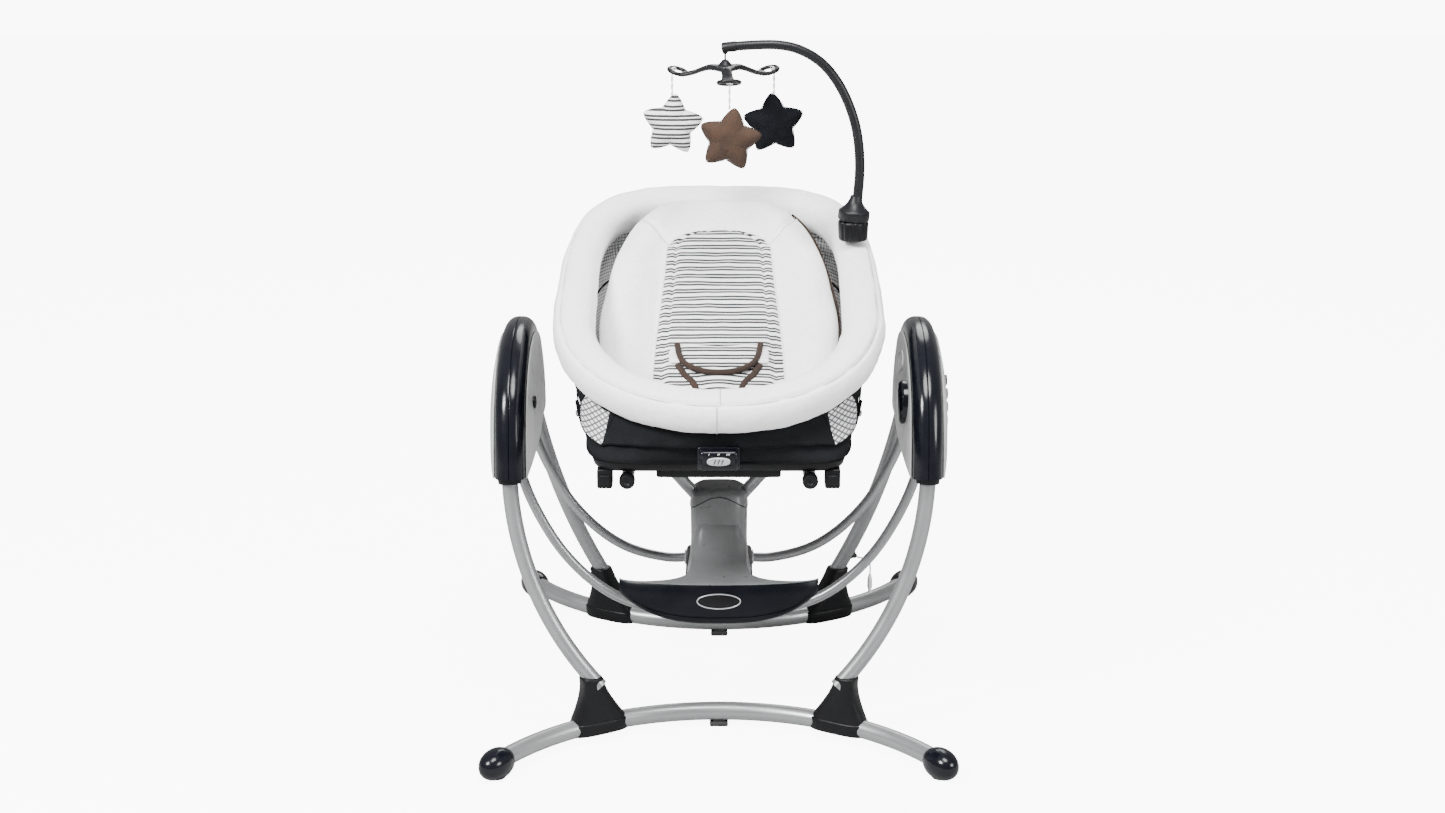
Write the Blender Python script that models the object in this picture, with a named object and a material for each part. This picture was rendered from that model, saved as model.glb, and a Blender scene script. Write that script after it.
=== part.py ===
"""Gliding baby swing: a tube frame with two arched towers, two U-shaped hangers that carry
a pedestal, and a lift-off bassinet seat with a mobile.

Metres, +Z up, +X to the right of someone facing the swing, -Y towards them.
The origin is on the floor, in the middle of the footprint.
"""
import math

import bmesh
import bpy
from mathutils import Matrix
from mathutils import Vector

# ---- driving dimensions -------------------------------------------------------------
GAP = 0.0003                # clearance between pieces that touch

BASE_MIDDLE = 0.190         # Y of a base tube at X = 0
BASE_BEND = 0.385           # plan radius of a base tube
BASE_HEIGHT = 0.0235        # height of a base tube's centre
BASE_RADIUS = 0.0143
BASE_END = 0.325            # X where a base tube ends, inside its foot
FOOT_X = 0.333
FOOT_HALF = (0.033, 0.023, 0.0235)
FOOT_CENTRE_Z = 0.0215
SOCKET_X = 0.187
SOCKET_BOTTOM = 0.0135
SOCKET_TOP = 0.104

LEG_RADIUS = 0.0125
LEG_FOOT_Z = 0.088          # lower end of a leg, inside its socket
LEG_FOOT_Y = 0.243
LEG_INSERT = 0.022          # length of a leg inside its tower
FRONT_LEG = dict(side=-1, top_x=0.3195, bend=0.498, bend_z=0.43, collar=(0.200, 0.412))
REAR_LEG = dict(side=1, top_x=0.325, bend=1.098, bend_z=0.60, collar=(0.172, 0.448))

TOWER_X = 0.3185            # middle plane of a tower
BAND_HALF_WIDTH = 0.0235    # half the tower's thickness along X
BAND_HALF_DEPTH = 0.0235    # half the arch's radial depth
WEB = 0.0025                # wall between the two limbs of the arch
POCKET_DEPTH = 0.017        # from the arch's centre line in to the hollow between its limbs
ARCH = [(-0.200, 0.412), (-0.190, 0.470), (-0.163, 0.527), (-0.105, 0.571), (-0.030, 0.5875),
        (0.050, 0.580), (0.119, 0.553), (0.160, 0.505), (0.172, 0.448)]
ARCH_HEM = [(0.137, 0.447), (0.060, 0.446), (-0.020, 0.442), (-0.100, 0.433), (-0.168, 0.420)]
BAND_SECTION = [(0.0, 0.0235), (0.0100, 0.0222), (0.0170, 0.0170), (0.0215, 0.0085), (0.0235, -0.0020)]
PANEL_INSET = -0.0010       # the panels' edge, from the arch's centre line
PANEL_CENTRE = (-0.010, 0.458)
PANEL_CROWN = [(1.0, 0.0), (0.86, 0.40), (0.66, 0.74), (0.44, 0.94), (0.20, 1.0)]
OUTER_BULGE = 0.0185
INNER_BULGE = 0.0150

PIVOT_Y = 0.12
PIVOT_Z = 0.510
PIN_RADIUS = 0.005
EYE_RADIUS = 0.0125
HANGER_RADIUS = 0.008
HANGER_LOW_Z = 0.168
HANGER_SIDE = [(0.045, 0.168), (0.090, 0.168), (0.150, 0.184), (0.200, 0.216), (0.245, 0.264),
               (0.280, 0.322), (0.304, 0.380), (0.3165, 0.440), (0.3185, 0.501)]

HUB_COVER_RADIUS = 0.034
BUTTON_RADIUS = 0.0085
BUTTON_Y = -0.055
BUTTONS = {"button_power": (0.3585, 0.527), "button_faster": (0.3603, 0.505),
           "button_slower": (0.3612, 0.483), "button_timer": (0.3614, 0.461)}

CHASSIS_TOP = 0.1862
NECK_TOP = 0.3345
PLATE_Z = (0.2320, 0.2395)
POD_HALF_WIDTH = 0.157
DOCK_Z = (0.4250, 0.4530)
STRUT_RADIUS = 0.0100

TRAY_Z = (0.4535, 0.4700)
ROCKER_X = 0.136
ROCKER_RADIUS = 0.0095
ROCKER_CAP_RADIUS = 0.0118

RIM_MIDDLE_Y = -0.060       # Y of the bassinet's widest place
RIM_HALF_WIDTH = 0.258
RIM_FRONT = 0.300           # from the widest place to the front
RIM_REAR = 0.420            # from the widest place to the back
RIM_HEIGHT = 0.6425         # height of the rim's centre at Y = 0
RIM_SLOPE = 0.263           # rise of the rim per metre towards the back
RIM_HALF = (0.033, 0.031)   # half the cushion's width and height
RIM_TUBE_RADIUS = 0.008
SHELL_WALL = 0.005
SHELL_BASE_Z = 0.4705
BASE_HALF_WIDTH = 0.199     # the bassinet's outline where it stands on the tray
BASE_FRONT = 0.248
BASE_REAR = 0.355
BASE_POWER = 7.0

PAD_SLOPE = 0.663
PAD_SEAT = (-0.10, 0.512)   # Y, Z where the pad's reclined part begins

CLAMP_X = 0.217
CLAMP_Y = 0.120
CLAMP_BOTTOM = 0.7135
CLAMP_RADIUS = 0.0255
COLLAR_BOTTOM = 0.7463
ARM_RADIUS = 0.0068
ARM_ROUTE = [(0.2230, 0.776), (0.2262, 0.832), (0.2215, 0.885), (0.2090, 0.929), (0.1890, 0.969),
             (0.1630, 1.0000), (0.1290, 1.0205), (0.0930, 1.0285), (0.0490, 1.0280), (0.0060, 1.0245)]
HUB = (0.010, 0.120, 0.990)
HUB_REACH = 0.095
HUB_TURN = 4.0
STAR_RADIUS = 0.053
STAR_CENTRE_Z = 0.894
RIBBON_TOP = 0.9776

CORD_RADIUS = 0.0015
CORD_LEG_Z = 0.134          # height on the leg where the cord comes out
GROMMET = (0.0055, 0.0060)
CORD_ROUTE = [(0.2505, 0.2375, 0.1225), (0.2580, 0.2385, 0.1185), (0.2620, 0.2395, 0.1105),
              (0.2630, 0.2400, 0.1015), (0.2625, 0.2400, 0.0920)]
CONNECTOR = (0.0045, 0.0330)

MATERIALS = {
    "silver_paint": ((0.47, 0.48, 0.49), 0.35, 0.60),
    "black_plastic": ((0.012, 0.014, 0.020), 0.30, 0.0),
    "silver_plastic": ((0.62, 0.63, 0.62), 0.38, 0.10),
    "grey_plastic": ((0.20, 0.21, 0.21), 0.36, 0.10),
    "steel": ((0.55, 0.55, 0.56), 0.30, 1.0),
    "dark_button": ((0.09, 0.09, 0.10), 0.50, 0.0),
    "charcoal_fabric": ((0.030, 0.033, 0.037), 0.90, 0.0),
    "white_plush": ((0.86, 0.86, 0.86), 0.95, 0.0),
    "striped_fabric": ((0.80, 0.80, 0.79), 0.92, 0.0),
    "brown_fabric": ((0.16, 0.085, 0.050), 0.92, 0.0),
    "navy_fabric": ((0.018, 0.021, 0.028), 0.90, 0.0),
    "white_plastic": ((0.75, 0.75, 0.74), 0.45, 0.0),
}

for old in list(bpy.data.objects):
    bpy.data.objects.remove(old, do_unlink=True)

PARTS = bpy.data.collections.new("gliding_baby_swing")
CUTTERS = bpy.data.collections.new("cutters")
bpy.context.scene.collection.children.link(PARTS)
bpy.context.scene.collection.children.link(CUTTERS)
DONE_MATERIALS = {}


# ---- helpers ------------------------------------------------------------------------
def material(name):
    if name not in DONE_MATERIALS:
        colour, roughness, metallic = MATERIALS[name]
        made = bpy.data.materials.new(name)
        made.use_nodes = True
        shader = made.node_tree.nodes["Principled BSDF"]
        shader.inputs["Base Color"].default_value = (*colour, 1.0)
        shader.inputs["Roughness"].default_value = roughness
        shader.inputs["Metallic"].default_value = metallic
        DONE_MATERIALS[name] = made
    return DONE_MATERIALS[name]


def add_object(name, mesh, slot=None):
    """Put a mesh in the part's collection, or among the cutters when it has no slot."""
    obj = bpy.data.objects.new(name, mesh)
    if slot:
        mesh.materials.clear()
        mesh.materials.append(material(slot))
        mesh.shade_smooth()
        mesh.set_sharp_from_angle(angle=math.radians(38))
        PARTS.objects.link(obj)
    else:
        obj.hide_render = True
        obj.display_type = "WIRE"
        CUTTERS.objects.link(obj)
    return obj


def from_bmesh(name, bm, slot=None):
    bmesh.ops.recalc_face_normals(bm, faces=bm.faces)
    mesh = bpy.data.meshes.new(name)
    bm.to_mesh(mesh)
    bm.free()
    return add_object(name, mesh, slot)


def smooth_points(points, steps):
    """Points on a Catmull-Rom curve through the given points."""
    pts = [Vector(p) for p in points]
    ends = [pts[0] * 2 - pts[1]] + pts + [pts[-1] * 2 - pts[-2]]
    out = []
    for a, b, c, d in zip(ends, ends[1:], ends[2:], ends[3:]):
        for k in range(steps):
            t = k / steps
            out.append(0.5 * (2 * b + (c - a) * t + (2 * a - 5 * b + 4 * c - d) * t * t
                              + (3 * b - a - 3 * c + d) * t ** 3))
    return out + [pts[-1]]


def tube(name, points, radius, slot=None, sides=8, cyclic=False):
    """A tube along a polyline, turned into a mesh with its caps welded."""
    curve = bpy.data.curves.new(name + "_path", "CURVE")
    curve.dimensions = "3D"
    curve.bevel_depth = radius
    curve.bevel_resolution = (sides - 4) // 2
    curve.use_fill_caps = not cyclic
    curve.render_resolution_u = 0
    spline = curve.splines.new("POLY")
    spline.points.add(len(points) - 1)
    for point, place in zip(spline.points, points):
        point.co = (*place, 1.0)
    spline.use_cyclic_u = cyclic
    path = bpy.data.objects.new(name + "_path", curve)
    PARTS.objects.link(path)
    seen = path.evaluated_get(bpy.context.evaluated_depsgraph_get())
    bm = bmesh.new()
    bm.from_mesh(bpy.data.meshes.new_from_object(seen))
    bpy.data.objects.remove(path, do_unlink=True)
    bmesh.ops.remove_doubles(bm, verts=bm.verts, dist=0.00001)
    return from_bmesh(name, bm, slot)


def rod(name, start, end, radius, slot=None, sides=16, end_radius=None):
    """A cylinder or a cone between two points."""
    start = Vector(start)
    along = Vector(end) - start
    place = Matrix.Translation(start + along / 2) @ along.to_track_quat("Z", "Y").to_matrix().to_4x4()
    bm = bmesh.new()
    bmesh.ops.create_cone(bm, cap_ends=True, segments=sides, radius1=radius,
                          radius2=radius if end_radius is None else end_radius,
                          depth=along.length, matrix=place)
    return from_bmesh(name, bm, slot)


def block(name, low, high, slot=None, bevel=0.0):
    low, high = Vector(low), Vector(high)
    bm = bmesh.new()
    bmesh.ops.create_cube(bm, size=1.0, matrix=Matrix.Translation((low + high) / 2)
                          @ Matrix.Diagonal((*(high - low), 1.0)))
    if bevel:
        bmesh.ops.bevel(bm, geom=bm.edges[:], offset=bevel, segments=2, profile=0.5, affect="EDGES")
    return from_bmesh(name, bm, slot)


def loft(name, rings, slot=None, loop=False):
    """Skin rings of equal point counts; the ends are capped unless the rings form a loop."""
    bm = bmesh.new()
    rows = [[bm.verts.new(p) for p in ring] for ring in rings]
    count = len(rows[0])
    following = rows[1:] + rows[:1] if loop else rows[1:]
    for near, far in zip(rows, following):
        for i in range(count):
            j = (i + 1) % count
            bm.faces.new((near[i], near[j], far[j], far[i]))
    if not loop:
        bm.faces.new(rows[0])
        bm.faces.new(rows[-1])
    return from_bmesh(name, bm, slot)


def combine(target, tool, operation):
    """Add a Boolean modifier; the tool moves to the cutters."""
    mod = target.modifiers.new(operation.lower(), "BOOLEAN")
    mod.operation = operation
    mod.solver = "EXACT"
    mod.object = tool
    if tool.name in PARTS.objects:
        PARTS.objects.unlink(tool)
        CUTTERS.objects.link(tool)
        tool.hide_render = True
        tool.display_type = "WIRE"


def cut(target, tool):
    combine(target, tool, "DIFFERENCE")


def join(target, tool):
    combine(target, tool, "UNION")


def rounded_ring(half_x, half_y, power, count):
    """Points of a superellipse, as (x, y) pairs."""
    out = []
    for k in range(count):
        angle = 2 * math.pi * k / count
        c, s = math.cos(angle), math.sin(angle)
        out.append((half_x * math.copysign(abs(c) ** (2 / power), c),
                    half_y * math.copysign(abs(s) ** (2 / power), s)))
    return out


def carrier(name, place, children, parent=None):
    """An empty on a joint's axis that carries the pieces of one moving body."""
    empty = bpy.data.objects.new(name, None)
    empty.empty_display_size = 0.03
    PARTS.objects.link(empty)
    world = Matrix.Translation(place)
    empty.matrix_world = world
    if parent:
        empty.parent = parent[0]
        empty.matrix_parent_inverse = Matrix.Translation(parent[1]).inverted()
    for child in children:
        bpy.data.objects[child].parent = empty
        bpy.data.objects[child].matrix_parent_inverse = world.inverted()
    return empty, place


# ---- frame --------------------------------------------------------------------------
def base_point(x, side):
    return Vector((x, side * (BASE_MIDDLE + BASE_BEND - math.sqrt(BASE_BEND ** 2 - x * x)), BASE_HEIGHT))


def base_tangent(x, side):
    slope = x / math.sqrt(BASE_BEND ** 2 - x * x)
    return Vector((1.0, side * slope, 0.0)).normalized()


def base_tube(side):
    name = "front_base_tube" if side < 0 else "rear_base_tube"
    end = math.asin(BASE_END / BASE_BEND)
    steps = 20
    route = [base_point(BASE_BEND * math.sin(end * (2 * k / steps - 1)), side) for k in range(steps + 1)]
    tube(name, route, BASE_RADIUS, "silver_paint", sides=10)
    return tube(name + "_room", route, BASE_RADIUS + 0.0006, sides=10)


def foot(name, x, side, room):
    bm = bmesh.new()
    bmesh.ops.create_uvsphere(bm, u_segments=14, v_segments=8, radius=1.0)
    tangent = base_tangent(x, side)
    centre = base_point(x, side)
    centre.z = FOOT_CENTRE_Z
    turn = Matrix.Rotation(math.atan2(tangent.y, tangent.x), 4, "Z")
    place = Matrix.Translation(centre) @ turn @ Matrix.Diagonal((*FOOT_HALF, 1.0))
    bmesh.ops.transform(bm, matrix=place, verts=bm.verts)
    for vert in bm.verts:
        vert.co.z = max(vert.co.z, 0.0)
    bmesh.ops.dissolve_limit(bm, angle_limit=0.001, verts=bm.verts, edges=bm.edges)
    cut(from_bmesh(name, bm, "black_plastic"), room)


def leg_x(leg, z):
    return leg["top_x"] - leg["bend"] + math.sqrt(leg["bend"] ** 2 - (leg["bend_z"] - z) ** 2)


def leg_point(leg, across, z):
    top_y, top_z = leg["collar"]
    y = top_y + (LEG_FOOT_Y - top_y) * (top_z - z) / (top_z - SOCKET_TOP)
    return Vector((across * leg_x(leg, z), leg["side"] * y, z))


def leg_ends(leg, across):
    """Unit directions out of the collar, up, and into the socket, down."""
    top_z = leg["collar"][1]
    up = (leg_point(leg, across, top_z) - leg_point(leg, across, top_z - 0.01)).normalized()
    down = (leg_point(leg, across, LEG_FOOT_Z) - leg_point(leg, across, SOCKET_TOP)).normalized()
    return up, down


def leg_tube(name, leg, across):
    top_z = leg["collar"][1]
    up, down = leg_ends(leg, across)
    steps = 8
    heights = [top_z + (LEG_FOOT_Z - top_z) * k / steps for k in range(steps + 1)]
    route = [leg_point(leg, across, top_z) + up * LEG_INSERT]
    route += [leg_point(leg, across, z) for z in heights]
    tube(name, route, LEG_RADIUS, "silver_paint", sides=10)


def leg_socket(name, leg, across, room):
    side = leg["side"]
    x = across * SOCKET_X
    low = base_point(x, side)
    tangent = base_tangent(x, side)
    normal = Vector((-tangent.y, tangent.x, 0.0))
    high = leg_point(leg, across, SOCKET_TOP)
    rings = []
    for z, half_along, half_across in [(SOCKET_BOTTOM, 0.0465, 0.0185), (0.034, 0.0440, 0.0190),
                                       (0.060, 0.0300, 0.0185), (0.084, 0.0195, 0.0175),
                                       (SOCKET_TOP, 0.0170, 0.0168)]:
        share = ((z - SOCKET_BOTTOM) / (SOCKET_TOP - SOCKET_BOTTOM)) ** 1.4
        centre = low.lerp(high, share)
        rings.append([Vector((centre.x, centre.y, z)) + tangent * u + normal * v
                      for u, v in rounded_ring(half_along, half_across, 4.0, 12)])
    socket = loft(name, rings, "black_plastic")
    cut(socket, room)
    down = leg_ends(leg, across)[1]
    foot_end = leg_point(leg, across, LEG_FOOT_Z)
    cut(socket, rod(name + "_bore", foot_end + down * 0.001, foot_end - down * 0.040,
                    LEG_RADIUS + 0.0009, sides=14))


def center_pad(name, side):
    y = side * BASE_MIDDLE
    block(name, (-0.014, y - 0.010, 0.0), (0.014, y + 0.010, BASE_HEIGHT - BASE_RADIUS - GAP),
          "black_plastic", bevel=0.002)


# ---- towers -------------------------------------------------------------------------
def arch_offset(distance):
    """The arch's centre line moved outwards by a distance, as (y, z) pairs from front to back."""
    line = smooth_points([(y, z, 0.0) for y, z in ARCH], 2)
    out = []
    for k, point in enumerate(line):
        before = line[max(k - 1, 0)]
        after = line[min(k + 1, len(line) - 1)]
        along = (after - before).normalized()
        out.append((point.x - along.y * distance, point.y + along.x * distance))
    return out


def upright_plate(name, outline, x_low, x_high, slot=None):
    """A flat outline of (y, z) pairs given its thickness along X."""
    curve = bpy.data.curves.new(name + "_outline", "CURVE")
    curve.dimensions = "2D"
    curve.fill_mode = "BOTH"
    curve.extrude = (x_high - x_low) / 2
    curve.render_resolution_u = 0
    spline = curve.splines.new("POLY")
    spline.points.add(len(outline) - 1)
    for point, (y, z) in zip(spline.points, outline):
        point.co = (y, z, 0.0, 1.0)
    spline.use_cyclic_u = True
    flat = bpy.data.objects.new(name + "_outline", curve)
    PARTS.objects.link(flat)
    seen = flat.evaluated_get(bpy.context.evaluated_depsgraph_get())
    bm = bmesh.new()
    bm.from_mesh(bpy.data.meshes.new_from_object(seen))
    bpy.data.objects.remove(flat, do_unlink=True)
    bmesh.ops.remove_doubles(bm, verts=bm.verts, dist=0.00001)
    turn = Matrix(((0, 0, 1, (x_low + x_high) / 2), (1, 0, 0, 0), (0, 1, 0, 0), (0, 0, 0, 1)))
    bmesh.ops.transform(bm, matrix=turn, verts=bm.verts)
    return from_bmesh(name, bm, slot)


def tower_half(name, across, outward, bores):
    """One half shell of the arch: the half of the band and the web between its limbs."""
    inner = arch_offset(-BAND_HALF_DEPTH)
    lower_edge = [inner[-1]] + ARCH_HEM + [inner[0]]
    face = TOWER_X + outward * BAND_HALF_WIDTH
    rings = []
    for from_middle, offset in BAND_SECTION:
        x = across * (TOWER_X + outward * max(from_middle, GAP / 2))
        rings.append([(x, y, z) for y, z in arch_offset(offset) + lower_edge])
    half = loft(name, rings, "black_plastic")
    hollow = arch_offset(-POCKET_DEPTH)
    pocket = hollow + [(hollow[-1][0], 0.38), (hollow[0][0], 0.38)]
    web_face = across * (face - outward * WEB)
    past_middle = across * (TOWER_X - outward * 0.01)
    low, high = sorted((web_face, past_middle))
    cut(half, upright_plate(name + "_pocket", pocket, low, high))
    for bore in bores:
        cut(half, bore)
    return half


def tower_panel(name, across, outward, bulge):
    """A crowned cover on a tower's side, following the arch."""
    outline = arch_offset(PANEL_INSET) + [(y, z + 0.002) for y, z in ARCH_HEM]
    centre_y, centre_z = PANEL_CENTRE
    face = TOWER_X + outward * (BAND_HALF_WIDTH + GAP)
    rings = []
    for size, rise in PANEL_CROWN:
        x = across * (face + outward * bulge * rise)
        rings.append([(x, centre_y + (y - centre_y) * size, centre_z + (z - centre_z) * size)
                      for y, z in outline])
    return loft(name, rings, "silver_plastic")


def tower(across):
    side_name = "right" if across > 0 else "left"
    bores = []
    for leg, end_name in ((FRONT_LEG, "front"), (REAR_LEG, "rear")):
        up = leg_ends(leg, across)[0]
        mouth = leg_point(leg, across, leg["collar"][1])
        bores.append(rod(f"collar_bore_{end_name}_{side_name}", mouth - up * 0.03,
                         mouth + up * (LEG_INSERT + 0.001), LEG_RADIUS + 0.0008, sides=14))
    tower_half(f"tower_outer_half_{side_name}", across, 1, bores)
    tower_half(f"tower_inner_half_{side_name}", across, -1, bores)
    tower_panel(f"tower_outer_panel_{side_name}", across, 1, OUTER_BULGE)
    tower_panel(f"tower_inner_panel_{side_name}", across, -1, INNER_BULGE)
    for y, end_name in ((-PIVOT_Y, "front"), (PIVOT_Y, "rear")):
        reach = BAND_HALF_WIDTH - WEB - GAP
        rod(f"pivot_pin_{end_name}_{side_name}", (across * (TOWER_X - reach), y, PIVOT_Z),
            (across * (TOWER_X + reach), y, PIVOT_Z), PIN_RADIUS, "steel", sides=12)


def drive_parts():
    """The motor inside the right tower, the cover of its hub, and the control buttons."""
    rod("drive_motor", (TOWER_X - 0.014, 0.0, 0.520), (TOWER_X + 0.014, 0.0, 0.520), 0.024, "steel")
    inner_panel = bpy.data.objects["tower_inner_panel_right"]
    inner_face = TOWER_X - BAND_HALF_WIDTH - GAP
    cut(inner_panel, rod("hub_cover_hole", (inner_face + 0.01, -PIVOT_Y, PIVOT_Z),
                         (inner_face - 0.03, -PIVOT_Y, PIVOT_Z), HUB_COVER_RADIUS + 0.0005, sides=28))
    rod("drive_hub_cover", (inner_face, -PIVOT_Y, PIVOT_Z), (inner_face - 0.0185, -PIVOT_Y, PIVOT_Z),
        HUB_COVER_RADIUS, "black_plastic", sides=28, end_radius=HUB_COVER_RADIUS - 0.004)
    outer_panel = bpy.data.objects["tower_outer_panel_right"]
    for name, (face, z) in BUTTONS.items():
        cut(outer_panel, rod(name + "_well", (face - 0.0075, BUTTON_Y, z), (face + 0.01, BUTTON_Y, z),
                             BUTTON_RADIUS + 0.0006, sides=12))
        rod(name, (face - 0.0052, BUTTON_Y, z), (face, BUTTON_Y, z), BUTTON_RADIUS, "dark_button", sides=12)


def power_lead():
    """The white pigtail at the rear right leg: grommet, cord and connector."""
    low = leg_point(REAR_LEG, 1, CORD_LEG_Z)
    along = (leg_point(REAR_LEG, 1, CORD_LEG_Z + 0.01) - low).normalized()
    out = Vector((along.z, 0.0, -along.x)).normalized()
    seat_point = low + out * (LEG_RADIUS + GAP)
    start = seat_point + out * (GROMMET[1] + GAP)
    rod("cord_grommet", seat_point, seat_point + out * GROMMET[1], GROMMET[0], "black_plastic", sides=12)
    tube("power_cord", smooth_points([start, start + out * 0.004] + CORD_ROUTE, 2), CORD_RADIUS, "white_plastic", sides=8)
    end = Vector(CORD_ROUTE[-1])
    top = end - Vector((0, 0, GAP))
    rod("cord_connector", top, top - Vector((0, 0, CONNECTOR[1])), CONNECTOR[0], "white_plastic", sides=12)


# ---- hangers and pedestal -----------------------------------------------------------
def hanger(name, y):
    half = smooth_points([(x, y, z) for x, z in HANGER_SIDE], 2)
    mirrored = [Vector((-p.x, p.y, p.z)) for p in reversed(half)]
    body = tube(name, mirrored + half, HANGER_RADIUS, "silver_paint", sides=8)
    for across, side_name in ((-1, "left"), (1, "right")):
        join(body, rod(f"{name}_eye_{side_name}", (across * (TOWER_X - 0.010), y, PIVOT_Z),
                       (across * (TOWER_X + 0.010), y, PIVOT_Z), EYE_RADIUS, sides=16))
    for across, side_name in ((-1, "left"), (1, "right")):
        cut(body, rod(f"{name}_bore_{side_name}", (across * (TOWER_X - 0.02), y, PIVOT_Z),
                      (across * (TOWER_X + 0.02), y, PIVOT_Z), PIN_RADIUS + 0.0005, sides=12))


def glider_chassis():
    body = block("glider_chassis", (-0.055, -0.136, 0.1560), (0.055, 0.136, CHASSIS_TOP),
                 "black_plastic", bevel=0.004)
    for y, end_name in ((-PIVOT_Y, "front"), (PIVOT_Y, "rear")):
        cut(body, rod(f"chassis_bore_{end_name}", (-0.09, y, HANGER_LOW_Z), (0.09, y, HANGER_LOW_Z),
                      HANGER_RADIUS + 0.0006, sides=16))


def strut_route(across):
    points = [(0.026, 0.006, 0.303), (0.045, 0.002, 0.327), (0.0595, -0.002, 0.345),
              (0.083, -0.008, 0.378), (0.095, -0.012, 0.432)]
    return smooth_points([(across * x, y, z) for x, y, z in points], 2)


def pedestal_shell():
    """The grey neck and, in one piece with it, the plate that spreads over the pod."""
    rings = []
    for z, half_x, front, back in [(CHASSIS_TOP + GAP, 0.052, -0.062, 0.066), (0.215, 0.047, -0.061, 0.064),
                                   (0.250, 0.0455, -0.058, 0.060), (0.290, 0.0460, -0.048, 0.056),
                                   (0.312, 0.0465, -0.042, 0.052), (0.327, 0.0430, -0.035, 0.046),
                                   (NECK_TOP, 0.0330, -0.024, 0.036)]:
        middle = (front + back) / 2
        rings.append([(x, middle + y, z) for x, y in rounded_ring(half_x, (back - front) / 2, 3.6, 20)])
    neck = loft("pedestal_shell", rings, "grey_plastic")
    edge = [(POD_HALF_WIDTH * math.sin(a), -0.150 - 0.055 * math.cos(a))
            for a in [math.radians(-84 + 168 * k / 12) for k in range(13)]]
    flare = [(0.150, -0.146), (0.118, -0.132), (0.085, -0.116), (0.060, -0.090), (0.050, -0.050)]
    outline = edge + flare + [(-x, y) for x, y in reversed(flare)]
    join(neck, loft("pedestal_plate", [[(x, y, z) for x, y in outline] for z in PLATE_Z]))
    for across, side_name in ((-1, "left"), (1, "right")):
        cut(neck, tube(f"strut_room_{side_name}", strut_route(across)[:6], STRUT_RADIUS + 0.0008, sides=12))


def pod_cover():
    """The half-moon front of the pedestal."""
    rings = []
    steps = 14
    for k in range(steps + 1):
        a = math.radians(-80 + 160 * k / steps)
        x = POD_HALF_WIDTH * math.sin(a)
        y = -0.150 - 0.055 * math.cos(a)
        share = 1 - abs(math.sin(a)) ** 2.4
        top = PLATE_Z[0] - GAP
        low = top - 0.012 - 0.048 * share
        depth = 0.010 + 0.040 * share
        rings.append([(x, y + 0.002, top), (x, y - 0.003, top - (top - low) * 0.35),
                      (x, y - 0.001, top - (top - low) * 0.75), (x, y + 0.010 * share + 0.002, low),
                      (x, y + depth, low + 0.006 * share), (x, y + depth, top)])
    loft("pod_cover", rings, "black_plastic")


def seat_cradle():
    """Two struts out of the neck and the dock plate on them, welded into one piece."""
    dock = block("seat_cradle", (-0.115, -0.140, DOCK_Z[0]), (0.115, 0.110, DOCK_Z[1]),
                 "black_plastic", bevel=0.005)
    for across, side_name in ((-1, "left"), (1, "right")):
        join(dock, tube(f"strut_{side_name}", strut_route(across), STRUT_RADIUS, sides=10))


# ---- seat ---------------------------------------------------------------------------
def rim_outline(angle, inset):
    """A point on the bassinet's plan outline, moved inwards by an inset."""
    c, s = math.cos(angle), math.sin(angle)
    power = 2.15 if s < 0 else 4.0
    reach = (RIM_FRONT if s < 0 else RIM_REAR) - inset
    half = RIM_HALF_WIDTH - inset
    return (half * math.copysign(abs(c) ** (2 / power), c),
            RIM_MIDDLE_Y + reach * math.copysign(abs(s) ** (2 / power), s))


def rim_angles(count):
    return [2 * math.pi * (k + 0.5) / count for k in range(count)]


def rim_frame(angle):
    """The rim's centre at an angle, with its outward and upward directions."""
    x, y = rim_outline(angle, RIM_HALF[0])
    outer_x, outer_y = rim_outline(angle, 0.0)
    out = Vector((outer_x - x, outer_y - y, RIM_SLOPE * (outer_y - y))).normalized()
    up = Vector((0.0, -RIM_SLOPE, 1.0)).normalized()
    return Vector((x, y, RIM_HEIGHT + RIM_SLOPE * y)), out, up


def rim():
    """The steel hoop, and the cushion sleeve that wraps it and is open along its underside."""
    angles = rim_angles(32)
    tube("rim_tube", [rim_frame(a)[0] for a in angles], RIM_TUBE_RADIUS, "steel", sides=8, cyclic=True)
    half_w, half_h = RIM_HALF
    outside = [(0.18, -1.0), (0.72, -0.90), (1.0, -0.40), (1.0, 0.35), (0.70, 0.88), (0.0, 1.0)]
    outside += [(-u, w) for u, w in reversed(outside[:5])]
    inside = [(-0.006, -0.009), (-0.0115, 0.002), (-0.007, 0.0105), (0.007, 0.0105), (0.0115, 0.002),
              (0.006, -0.009)]
    profile = [(u * half_w, w * half_h) for u, w in outside] + inside
    rings = []
    for angle in angles:
        centre, out, up = rim_frame(angle)
        rings.append([centre + out * u + up * w for u, w in profile])
    loft("rim_cushion", rings, "white_plush", loop=True)


def base_outline(angle, inset):
    c, s = math.cos(angle), math.sin(angle)
    reach = (BASE_FRONT if s < 0 else BASE_REAR) - inset
    half = BASE_HALF_WIDTH - inset
    return (half * math.copysign(abs(c) ** (2 / BASE_POWER), c),
            RIM_MIDDLE_Y + reach * math.copysign(abs(s) ** (2 / BASE_POWER), s))


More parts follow.
